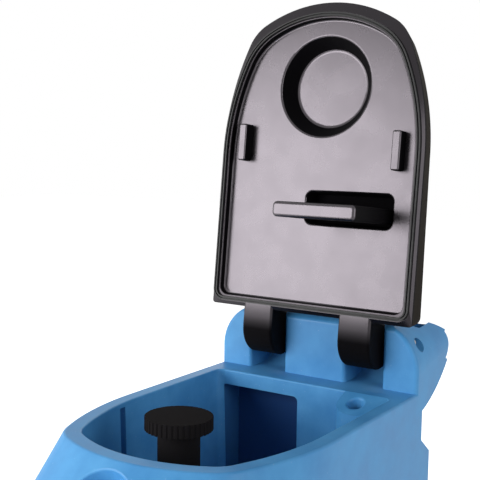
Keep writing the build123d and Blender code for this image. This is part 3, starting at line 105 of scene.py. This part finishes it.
# Rear axle and hinge pin: bars of bright drawn steel, the axle in two bolted blocks, the pin in the tower.
# Drawing leaves hair lines along the bar, drawn here 1 mm apart so that they show.
hairline_mm = 1.0
bar_stretch = (0.03, 1.0, 1.0)
drawn_steel, tree, shader, place = new_finish("drawn_bright_steel", Metallic=1.0)
along_bar = add_node(tree, "ShaderNodeMapping", {"Scale": bar_stretch}, {"Vector": place})
hairline = add_node(tree, "ShaderNodeTexNoise", {"Scale": per_metre(hairline_mm), "Detail": 3.0},
                    {"Vector": along_bar.outputs["Vector"]})
surface_from(tree, shader, hairline.outputs["Fac"], shades=("#8D9094", "#B4B6B8"),
             rough=(0.20, 0.34), relief_mm=0.03)
dress(drawn_steel, "rear_axle", "hinge_pin")

# Axle blocks, caps and rear fittings: black glass-filled polypropylene straight from the mould.
# The glass comes up to the skin as a dull, cloudy fleck, drawn 1.4 mm wide so that it shows.
fleck_mm = 1.4
filled_black, tree, shader, place = new_finish("black_glass_filled_polypropylene", IOR=1.49,
                                               Specular_IOR_Level=0.3)
fleck = add_node(tree, "ShaderNodeTexNoise", {"Scale": per_metre(fleck_mm), "Detail": 5.0},
                 {"Vector": place})
surface_from(tree, shader, fleck.outputs["Fac"], shades=("#0E0E0F", "#1A1A1C"),
             rough=(0.42, 0.58), relief_mm=0.06)
dress(filled_black, "axle_blocks", "axle_caps", "inlet_spigot", "drain_spigot", "drain_cap",
      "switch_frame", "cable_gland", "exhaust_grille", "standpipe_nut")

# Wheel spacers, hinge bushes and pin caps: natural nylon, turned or moulded.
# Cream, a little translucent at the edge, with faint flow streaks.
streak_mm = 5.0
natural_nylon, tree, shader, place = new_finish("natural_nylon", IOR=1.53, Subsurface_Weight=0.05,
                                                Subsurface_Scale=0.002)
streak = add_node(tree, "ShaderNodeTexNoise",
                  {"Scale": per_metre(streak_mm), "Detail": 2.0, "Distortion": 1.5}, {"Vector": place})
surface_from(tree, shader, streak.outputs["Fac"], shades=("#CFC8B4", "#E2DCCB"),
             rough=(0.36, 0.46), relief_mm=0.03)
dress(natural_nylon, "wheel_spacers", "hinge_bushes", "hinge_pin_caps")

# Road wheels and caster rollers: grey polypropylene discs with solid rubber tyres moulded round them.
# The discs show faint swirls where the melt met behind the holes.
swirl_mm = 18.0
grey_disc, tree, shader, place = new_finish("grey_moulded_polypropylene", IOR=1.49,
                                            Specular_IOR_Level=0.4)
swirl = add_node(tree, "ShaderNodeTexNoise",
                 {"Scale": per_metre(swirl_mm), "Detail": 4.0, "Distortion": 2.0}, {"Vector": place})
surface_from(tree, shader, swirl.outputs["Fac"], shades=("#6E7174", "#83868A"),
             rough=(0.40, 0.52), relief_mm=0.10)
dress(grey_disc, "right_wheel", "left_wheel", "right_caster_wheel", "left_caster_wheel")

# Tyres: charcoal rubber that does not mark floors, moulded round the discs.
# Scuffed matt on the tread and paler with dust.
scuff_mm = 4.0
tyre_rubber, tree, shader, place = new_finish("charcoal_moulded_rubber", IOR=1.52,
                                              Specular_IOR_Level=0.25)
scuff = add_node(tree, "ShaderNodeTexNoise",
                 {"Scale": per_metre(scuff_mm), "Detail": 6.0, "Roughness": 0.7}, {"Vector": place})
surface_from(tree, shader, scuff.outputs["Fac"], shades=("#1E1E1F", "#37373A"),
             rough=(0.66, 0.88), relief_mm=0.20)
dress(tyre_rubber, "right_tyre", "left_tyre", "right_caster_tyre", "left_caster_tyre")

# Casters: plates and forks pressed from sheet steel and zinc plated after bending.
# The sheet keeps broad rolling streaks under the plating.
roll_mm = 6.0
sheet_stretch = (1.0, 1.0, 0.15)
pressed_steel, tree, shader, place = new_finish("zinc_plated_pressed_steel", Metallic=1.0)
down_sheet = add_node(tree, "ShaderNodeMapping", {"Scale": sheet_stretch}, {"Vector": place})
rolled = add_node(tree, "ShaderNodeTexNoise", {"Scale": per_metre(roll_mm), "Detail": 5.0},
                  {"Vector": down_sheet.outputs["Vector"]})
surface_from(tree, shader, rolled.outputs["Fac"], shades=("#94979B", "#B3B6BA"),
             rough=(0.30, 0.46), relief_mm=0.05)
dress(pressed_steel, "caster_plates", "right_caster_fork", "left_caster_fork")


# Suction motor: fan housing, diffuser, impellers and mounting plate, drawn and spun from tinned sheet.
# Spinning leaves fine rings round the motor's axis, drawn 1.2 mm apart so that they show.
def waves_per_metre(size_mm):
    """Scale of a wave pattern of a real spacing; at scale one its waves stand pi / 10 apart."""
    return per_metre(size_mm) * math.pi / 10


ring_mm = 1.2
motor_low, motor_high = (Vector(corner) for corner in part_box("motor_shaft"))
motor_axis = (motor_low + motor_high) / 2
tinned_sheet, tree, shader, place = new_finish("spun_tinned_sheet", Metallic=1.0)
from_axis = add_node(tree, "ShaderNodeMapping", {"Location": (-motor_axis.x, -motor_axis.y, 0)},
                     {"Vector": place})
rings = add_node(tree, "ShaderNodeTexWave", {"Scale": waves_per_metre(ring_mm), "Distortion": 1.0},
                 {"Vector": from_axis.outputs["Vector"]}, wave_type="RINGS", rings_direction="Z")
surface_from(tree, shader, rings.outputs["Fac"], shades=("#9B9DA0", "#B9BBBD"),
             rough=(0.24, 0.38), relief_mm=0.04)
dress(tinned_sheet, "fan_housing", "diffuser_plate", "motor_plate", "upper_impeller", "lower_impeller")

# Motor frame and end bracket: pressure die-cast aluminium that carries the stator and the bearings.
# Shot blasting leaves an even matt grain, drawn 0.9 mm wide so that it shows.
blast_mm = 0.9
cast_aluminium, tree, shader, place = new_finish("blasted_cast_aluminium", Metallic=1.0)
blast = add_node(tree, "ShaderNodeTexNoise", {"Scale": per_metre(blast_mm), "Detail": 3.0},
                 {"Vector": place})
surface_from(tree, shader, blast.outputs["Fac"], shades=("#8F9193", "#A9ABAD"),
             rough=(0.48, 0.62), relief_mm=0.08)
dress(cast_aluminium, "motor_frame", "motor_end_bracket")

# Stator and armature: stacked electrical sheet under amber varnish.
# The edges of the sheets line the stack, drawn 1.5 mm apart instead of 0.5 mm so that they show.
sheet_mm = 1.5
laminated, tree, shader, place = new_finish("varnished_laminations", Metallic=0.6)
stack = add_node(tree, "ShaderNodeTexWave", {"Scale": waves_per_metre(sheet_mm), "Distortion": 0.3},
                 {"Vector": place}, wave_type="BANDS", bands_direction="Z")
surface_from(tree, shader, stack.outputs["Fac"], shades=("#3A332C", "#5A5048"),
             rough=(0.32, 0.50), relief_mm=0.10)
dress(laminated, "stator_core", "armature")

# Shaft and bearings: hardened steel, ground to size, with the bearings pressed on.
# Grinding leaves short hair lines round the surface, drawn 0.8 mm apart so that they show.
grind_mm = 0.8
round_stretch = (0.1, 0.1, 1.0)
ground_steel, tree, shader, place = new_finish("ground_steel", Metallic=1.0)
round_shaft = add_node(tree, "ShaderNodeMapping", {"Scale": round_stretch}, {"Vector": place})
grind = add_node(tree, "ShaderNodeTexNoise", {"Scale": per_metre(grind_mm), "Detail": 2.0},
                 {"Vector": round_shaft.outputs["Vector"]})
surface_from(tree, shader, grind.outputs["Fac"], shades=("#A3A5A8", "#C2C4C6"),
             rough=(0.14, 0.26), relief_mm=0.02)
dress(ground_steel, "motor_shaft", "motor_bearings")

# Brushes: blocks pressed from carbon powder, which bear on the commutator.
# Dull, with a slight metallic fleck drawn 0.7 mm wide so that it shows.
carbon_mm = 0.7
carbon, tree, shader, place = new_finish("pressed_carbon", Metallic=0.2)
grit = add_node(tree, "ShaderNodeTexNoise", {"Scale": per_metre(carbon_mm), "Detail": 3.0},
                {"Vector": place})
surface_from(tree, shader, grit.outputs["Fac"], shades=("#141415", "#2B2B2D"),
             rough=(0.50, 0.70), relief_mm=0.06)
dress(carbon, "carbon_brushes")

# Gaskets, seals and lid buffers: black EPDM rubber, moulded or cut from sheet.
# Soft sheen with a bloom of talc in patches.
talc_mm = 9.0
sealing_rubber, tree, shader, place = new_finish("black_epdm_rubber", IOR=1.5, Specular_IOR_Level=0.35)
talc = add_node(tree, "ShaderNodeTexNoise", {"Scale": per_metre(talc_mm), "Detail": 5.0},
                {"Vector": place})
surface_from(tree, shader, talc.outputs["Fac"], shades=("#0B0B0C", "#191919"),
             rough=(0.42, 0.60), relief_mm=0.05)
dress(sealing_rubber, "motor_gasket", "standpipe_seal", "cap_seal", "lid_gasket", "lid_buffers")

# Exhaust filter: a pad cut from open-cell foam, held behind the grille.
# The cells are open pits about 2 mm across, so they are drawn deep.
cell_mm = 2.2
open_foam, tree, shader, place = new_finish("open_cell_foam", Specular_IOR_Level=0.1)
cells = add_node(tree, "ShaderNodeTexVoronoi", {"Scale": per_metre(cell_mm)}, {"Vector": place})
surface_from(tree, shader, cells.outputs["Distance"], shades=("#1B1B1C", "#434346"),
             rough=(0.90, 0.96), relief_mm=0.8, strength=0.9)
dress(open_foam, "exhaust_foam")

# Recovery tank: one hollow shell of rotomoulded polyethylene, coloured right through.
# The oven-fused powder leaves a satin skin with fine orange peel, waving walls and cloudy drifts of tone.
# Use has left pale specks of dried dust; the drain alcove carries painted shade, a dark blue laid into its
# colour.
peel_mm = 2.4
peel_height_mm = 0.3
wave_mm = 55.0
wave_height_mm = 1.5
cloud_mm = 60.0
noise_low = 0.3
noise_high = 0.7
thick_wall = "#4188C1"
thin_wall = "#529AD0"
satin_low = 0.38
satin_high = 0.50
polyethylene, tree, shader, place = new_finish("blue_rotomoulded_polyethylene", IOR=1.5,
                                               Specular_IOR_Level=0.28)
cloud = add_node(tree, "ShaderNodeTexNoise",
                 {"Scale": per_metre(cloud_mm), "Detail": 4.0, "Roughness": 0.6}, {"Vector": place})
clear_cloud = add_node(tree, "ShaderNodeMapRange", {"From Min": noise_low, "From Max": noise_high},
                       {"Value": cloud.outputs["Fac"]})
tone = add_node(tree, "ShaderNodeMix", {"A": linear(thick_wall), "B": linear(thin_wall)},
                {"Factor": clear_cloud.outputs["Result"]}, data_type="RGBA")
satin = add_node(tree, "ShaderNodeMapRange", {"To Min": satin_low, "To Max": satin_high},
                 {"Value": clear_cloud.outputs["Result"]})
tree.links.new(satin.outputs["Result"], shader.inputs["Roughness"])
peel = add_node(tree, "ShaderNodeTexNoise", {"Scale": per_metre(peel_mm), "Detail": 2.0},
                {"Vector": place})
wave = add_node(tree, "ShaderNodeTexNoise", {"Scale": per_metre(wave_mm), "Detail": 1.0},
                {"Vector": place})
wavy = add_node(tree, "ShaderNodeBump", {"Strength": 0.5, "Distance": wave_height_mm / 1000},
                {"Height": wave.outputs["Fac"]})
skin = add_node(tree, "ShaderNodeBump", {"Strength": 0.12, "Distance": peel_height_mm / 1000},
                {"Height": peel.outputs["Fac"], "Normal": wavy.outputs["Normal"]})
tree.links.new(skin.outputs["Normal"], shader.inputs["Normal"])

# Dust specks stand about 9 mm apart; their core and edge are shares of that spacing
speck_mm = 9.0
speck_core = 0.04
speck_edge = 0.07
speck_strength = 0.35
dried_dust = "#C9DCEB"
dust = add_node(tree, "ShaderNodeTexVoronoi", {"Scale": per_metre(speck_mm)}, {"Vector": place})
speck = add_node(tree, "ShaderNodeMapRange",
                 {"From Min": speck_core, "From Max": speck_edge, "To Min": speck_strength, "To Max": 0.0},
                 {"Value": dust.outputs["Distance"]})
dusted = add_node(tree, "ShaderNodeMix", {"B": linear(dried_dust)},
                  {"Factor": speck.outputs["Result"], "A": tone.outputs["Result"]}, data_type="RGBA")

# Painted shade fills a box round the alcove and fades out at its sides
alcove_low = Vector((-0.150, 0.206, 0.298))
alcove_high = Vector((-0.004, 0.258, 0.506))
alcove_middle = (alcove_low + alcove_high) / 2
alcove_reach = (alcove_high - alcove_low) / 2
shade_full = -0.006
shade_end = 0.001
shade_strength = 0.96
# The dark blue of the alcove's painted shade
alcove_painted_shade = "#1F4278"
aside = add_node(tree, "ShaderNodeVectorMath", {1: alcove_middle}, {0: place}, operation="SUBTRACT")
apart = add_node(tree, "ShaderNodeVectorMath", links={0: aside.outputs["Vector"]}, operation="ABSOLUTE")
beyond = add_node(tree, "ShaderNodeVectorMath", {1: alcove_reach}, {0: apart.outputs["Vector"]},
                  operation="SUBTRACT")
ways = add_node(tree, "ShaderNodeSeparateXYZ", links={"Vector": beyond.outputs["Vector"]})
wider = add_node(tree, "ShaderNodeMath", links={0: ways.outputs["X"], 1: ways.outputs["Y"]},
                 operation="MAXIMUM")
widest = add_node(tree, "ShaderNodeMath", links={0: wider.outputs[0], 1: ways.outputs["Z"]},
                  operation="MAXIMUM")
# How strongly the painted shade darkens the alcove: full inside the box, none beyond its sides
alcove_shade_mask = add_node(tree, "ShaderNodeMapRange",
                {"From Min": shade_full, "From Max": shade_end, "To Min": shade_strength, "To Max": 0.0},
                {"Value": widest.outputs[0]})
alcove_shaded = add_node(tree, "ShaderNodeMix", {"B": linear(alcove_painted_shade)},
                   {"Factor": alcove_shade_mask.outputs["Result"], "A": dusted.outputs["Result"]}, data_type="RGBA")
tree.links.new(alcove_shaded.outputs["Result"], shader.inputs["Base Color"])
dress(polyethylene, "recovery_tank")

# Power switch rocker: red polycarbonate, moulded in a polished tool and clipped into its frame.
# Glossy, with faint dull patches where fingers press it.
finger_mm = 8.0
red_rocker, tree, shader, place = new_finish("red_gloss_polycarbonate", IOR=1.58)
finger = add_node(tree, "ShaderNodeTexNoise", {"Scale": per_metre(finger_mm), "Detail": 3.0},
                  {"Vector": place})
surface_from(tree, shader, finger.outputs["Fac"], shades=("#8F1512", "#A51A16"),
             rough=(0.16, 0.30), relief_mm=0.02)
dress(red_rocker, "switch_rocker")

# Standpipe and its cap: black polypropylene, matt from use and from dried water.
# The spark-eroded grain, drawn 0.9 mm wide so that it shows, keeps almost all shine off it.
spark_mm = 0.9
matt_black, tree, shader, place = new_finish("black_matt_polypropylene", IOR=1.49,
                                             Specular_IOR_Level=0.02)
spark = add_node(tree, "ShaderNodeTexNoise", {"Scale": per_metre(spark_mm), "Detail": 3.0},
                 {"Vector": place})
surface_from(tree, shader, spark.outputs["Fac"], shades=("#151415", "#232122"),
             rough=(0.80, 0.92), relief_mm=0.08)
dress(matt_black, "standpipe", "standpipe_cap")

# Float: a ring of white closed-cell foam, moulded in one piece, that slides on the standpipe.
# Fine pits on a skin like eggshell.
bead_mm = 2.5
float_foam, tree, shader, place = new_finish("white_closed_cell_foam", Specular_IOR_Level=0.3)
bead = add_node(tree, "ShaderNodeTexVoronoi", {"Scale": per_metre(bead_mm)}, {"Vector": place})
surface_from(tree, shader, bead.outputs["Distance"], shades=("#C9C8C3", "#DEDDD8"),
             rough=(0.60, 0.75), relief_mm=0.15)
dress(float_foam, "float_ring")

# Lid liner and splash baffle: injection-moulded ABS, polished in the tool.
# The gloss mirrors the studio softly, spread by wipe marks and by a grain drawn coarser, at 1.6 mm.
# Walls drawn straight off the tool, the pocket's bed and the hinge knuckles are rough, and painted shade
# takes their reflection away.
wipe_mm = 45.0
gloss_low = 0.25
gloss_high = 0.31
grain_mm = 1.6
grain_height_mm = 0.2
gloss_abs, tree, shader, place = new_finish("black_gloss_abs", IOR=1.54, Base_Color=linear("#0A090B"),
                                            Specular_IOR_Level=0.75)
wipe = add_node(tree, "ShaderNodeTexNoise", {"Scale": per_metre(wipe_mm), "Detail": 5.0},
                {"Vector": place})
gloss = add_node(tree, "ShaderNodeMapRange",
                 {"From Min": noise_low, "From Max": noise_high, "To Min": gloss_low, "To Max": gloss_high},
                 {"Value": wipe.outputs["Fac"]})
grain = add_node(tree, "ShaderNodeTexNoise", {"Scale": per_metre(grain_mm), "Detail": 2.0},
                 {"Vector": place})
fine = add_node(tree, "ShaderNodeBump", {"Strength": 0.10, "Distance": grain_height_mm / 1000},
                {"Height": grain.outputs["Fac"]})
tree.links.new(fine.outputs["Normal"], shader.inputs["Normal"])

# The lid's own directions as it stands open on its pin: up along the panel, and out of it.
# Its foot is the middle of the flange's lower edge, and heights and depths count from there.
lid_open = math.radians(96.4)
arm_rise = 0.0304
arm_reach = 0.0651
pin_low, pin_high = (Vector(corner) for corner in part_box("hinge_pin"))
lid_up = Vector((0.0, -math.cos(lid_open), math.sin(lid_open)))
lid_out = Vector((0.0, -math.sin(lid_open), -math.cos(lid_open)))
lid_foot = (pin_low + pin_high) / 2 + arm_rise * lid_up + arm_reach * lid_out
foot_up = lid_foot.dot(lid_up)
foot_out = lid_foot.dot(lid_out)
rise = add_node(tree, "ShaderNodeVectorMath", {1: lid_up}, {0: place}, operation="DOT_PRODUCT")
outward = add_node(tree, "ShaderNodeVectorMath", {1: lid_out}, {0: place}, operation="DOT_PRODUCT")

# Recesses deeper than the wall depth are rough and get painted shade, except the floor of the round well
# above the pocket
wall_depth = 0.014
floor_depth = 0.0368
well_foot = 0.250
walls = add_node(tree, "ShaderNodeMath", {1: foot_out - wall_depth}, {0: outward.outputs["Value"]},
                 operation="LESS_THAN")
floors = add_node(tree, "ShaderNodeMath", {1: foot_out - floor_depth}, {0: outward.outputs["Value"]},
                  operation="LESS_THAN")
above = add_node(tree, "ShaderNodeMath", {1: foot_up + well_foot}, {0: rise.outputs["Value"]},
                 operation="GREATER_THAN")
well_floor = add_node(tree, "ShaderNodeMath", links={0: floors.outputs[0], 1: above.outputs[0]},
                      operation="MULTIPLY")
recessed = add_node(tree, "ShaderNodeMath", links={0: walls.outputs[0], 1: well_floor.outputs[0]},
                    operation="SUBTRACT")

# Faces that stand along the pull of the tool are rough and get painted shade, and so do the arms from root
# to knuckle
side_facing = 0.25
front_facing = 0.55
knuckle_end = -0.034
arm_root = 0.006
normal = add_node(tree, "ShaderNodeTexCoord").outputs["Normal"]
facing = add_node(tree, "ShaderNodeVectorMath", {1: lid_out}, {0: normal}, operation="DOT_PRODUCT")
drawn = add_node(tree, "ShaderNodeMapRange",
                 {"From Min": side_facing, "From Max": front_facing, "To Min": 1.0, "To Max": 0.0},
                 {"Value": facing.outputs["Value"]})
knuckle = add_node(tree, "ShaderNodeMapRange",
                   {"From Min": foot_up + knuckle_end, "From Max": foot_up + arm_root,
                    "To Min": 1.0, "To Max": 0.0},
                   {"Value": rise.outputs["Value"]})
dull_and_shaded = add_node(tree, "ShaderNodeMath", links={0: recessed.outputs[0], 1: drawn.outputs["Result"]},
                operation="MAXIMUM")
unpolished_and_shaded = add_node(tree, "ShaderNodeMath", links={0: dull_and_shaded.outputs[0], 1: knuckle.outputs[0]},
                      operation="MAXIMUM")

# Dull zones are rough, and painted shade darkens their reflection through the specular tint; the flange
# gets half of that painted shade. Elsewhere the tint is a faint mauve, a painted light colour in the
# reflection.
dull_rough = 0.85
flange_drop = 0.0035
flange_shade_share = 0.5
polish = add_node(tree, "ShaderNodeMix", {"B": dull_rough},
                  {"Factor": unpolished_and_shaded.outputs[0], "A": gloss.outputs["Result"]})
tree.links.new(polish.outputs["Result"], shader.inputs["Roughness"])
flange = add_node(tree, "ShaderNodeMath", {1: foot_out - flange_drop / 2, 2: flange_drop},
                  {0: outward.outputs["Value"]}, operation="COMPARE")
flange_shade = add_node(tree, "ShaderNodeMath", {1: flange_shade_share}, {0: flange.outputs[0]}, operation="MULTIPLY")
shade_share = add_node(tree, "ShaderNodeMath", links={0: unpolished_and_shaded.outputs[0], 1: flange_shade.outputs[0]},
                  operation="MAXIMUM")
# Specular tint: a faint mauve painted light colour on polished faces, near-black painted shade in the dull
# zones, half of it on the flange
painted_reflection_tint = add_node(tree, "ShaderNodeMix", {"A": linear("#FFF4FF"), "B": linear("#101010")},
                 {"Factor": shade_share.outputs[0]}, data_type="RGBA")
tree.links.new(painted_reflection_tint.outputs["Result"], shader.inputs["Specular Tint"])
dress(gloss_abs, "lid_liner", "splash_baffle")

# Lid cover: the deep outer shell, the same ABS from a blasted tool, welded to the liner at the flange.
# An even satin skin that hides finger marks, with dimples drawn 1.3 mm wide so that they show.
satin_mm = 1.3
satin_abs, tree, shader, place = new_finish("black_satin_abs", IOR=1.54, Specular_IOR_Level=0.06)
dimple = add_node(tree, "ShaderNodeTexNoise", {"Scale": per_metre(satin_mm), "Detail": 3.0},
                  {"Vector": place})
surface_from(tree, shader, dimple.outputs["Fac"], shades=("#1D1A17", "#28241F"),
             rough=(0.78, 0.90), relief_mm=0.06)
dress(satin_abs, "lid_cover")


# Floor of the studio: matt white paper, laid flat, that keeps the object's shadow.
# To the camera and in reflections it glows up to white, less so close to the object.
def seen_rays(tree):
    """One for rays that show the backdrop, nought for those that only light the object."""
    rays = add_node(tree, "ShaderNodeLightPath")
    seen = add_node(tree, "ShaderNodeMath",
                    links={0: rays.outputs["Is Camera Ray"], 1: rays.outputs["Is Glossy Ray"]},
                    operation="ADD")
    through = add_node(tree, "ShaderNodeMath",
                       links={0: seen.outputs[0], 1: rays.outputs["Is Transmission Ray"]},
                       operation="ADD", use_clamp=True)
    return through.outputs[0]


floor_half = 9.0
shadow_reach = 0.45
shadow_glow = 0.42
white_reach = 1.15
white_glow = 0.74
white = (1, 1, 1, 1)
corners = [(-floor_half, -floor_half, 0), (floor_half, -floor_half, 0),
           (floor_half, floor_half, 0), (-floor_half, floor_half, 0)]
floor_mesh = bpy.data.meshes.new("studio_floor")
floor_mesh.from_pydata(corners, [], [(0, 1, 2, 3)])
floor = bpy.data.objects.new("studio_floor", floor_mesh)
bpy.context.collection.objects.link(floor)
paper, tree, shader, place = new_finish("white_studio_floor", Base_Color=linear("#F2F2F2"),
                                        Roughness=0.9, Emission_Color=white)
away = add_node(tree, "ShaderNodeVectorMath", links={0: place}, operation="LENGTH")
fill = add_node(tree, "ShaderNodeMapRange",
                {"From Min": shadow_reach, "From Max": white_reach,
                 "To Min": shadow_glow, "To Max": white_glow},
                {"Value": away.outputs["Value"]})
glow = add_node(tree, "ShaderNodeMath", links={0: seen_rays(tree), 1: fill.outputs["Result"]},
                operation="MULTIPLY")
tree.links.new(glow.outputs[0], shader.inputs["Emission Strength"])
floor_mesh.materials.append(paper)

# White surround of the studio: full white to the camera and in reflections.
# It gives the object only a little light, so that colours render about as they are written.
ambient = 0.32
world = bpy.data.worlds.new("studio")
world.use_nodes = True
tree = world.node_tree
backdrop = tree.nodes["Background"]
backdrop.inputs["Color"].default_value = white
level = add_node(tree, "ShaderNodeMapRange", {"To Min": ambient, "To Max": 1.0},
                 {"Value": seen_rays(tree)})
tree.links.new(level.outputs["Result"], backdrop.inputs["Strength"])
bpy.context.scene.world = world


# Softboxes: a large oval one ahead, which the lid's panel mirrors,
# and weak ones at both sides and behind.
def softbox(name, place, target, width, height, radiance):
    """An oval lamp of even brightness, facing its target."""
    area = math.pi / 4 * width * height
    lamp = bpy.data.lights.new(name, "AREA")
    lamp.shape = "ELLIPSE"
    lamp.size = width
    lamp.size_y = height
    lamp.energy = radiance * math.pi * area
    holder = bpy.data.objects.new(name, lamp)
    holder.location = place
    holder.rotation_euler = (Vector(target) - Vector(place)).to_track_quat("-Z", "Y").to_euler()
    bpy.context.collection.objects.link(holder)


softbox("front_softbox", place=(-1.20, -1.80, 1.00), target=(0.0, 0.235, 0.80),
        width=1.60, height=1.46, radiance=8.0)
softbox("left_softbox", place=(-3.2, -1.3, 1.1), target=(0.0, 0.1, 0.8),
        width=2.0, height=1.6, radiance=2.2)
softbox("right_softbox", place=(2.2, -0.5, 1.2), target=(0.0, 0.0, 0.6),
        width=1.6, height=1.6, radiance=3.0)
softbox("rear_softbox", place=(-1.0, 2.6, 1.7), target=(0.0, 0.0, 0.6),
        width=1.6, height=1.6, radiance=2.2)

# The photo's camera: place, turn and lens from a fit to the lid, rim and tower.
# The picture is a crop of a wider view, which the shift gives.
camera_place = Vector((0.70798, -1.0638, 0.91668))
yaw = math.radians(34.834)
dip = math.radians(6.534)
roll = math.radians(0.484)
ahead = Vector((-math.sin(yaw) * math.cos(dip), math.cos(yaw) * math.cos(dip), -math.sin(dip)))
level_right = Vector((math.cos(yaw), math.sin(yaw), 0))
level_up = level_right.cross(ahead)
right = math.cos(roll) * level_right + math.sin(roll) * level_up
upward = math.cos(roll) * level_up - math.sin(roll) * level_right
turn = Matrix((right, upward, -ahead)).transposed().to_4x4()
camera_data = bpy.data.cameras.new("photo_camera")
camera_data.sensor_width = 36.0
camera_data.lens = 71.133
camera_data.shift_x = 0.0614
camera_data.shift_y = 0.0016
camera = bpy.data.objects.new("photo_camera", camera_data)
camera.matrix_world = Matrix.Translation(camera_place) @ turn
bpy.context.collection.objects.link(camera)
bpy.context.scene.camera = camera
bpy.context.scene.view_settings.view_transform = "Standard"
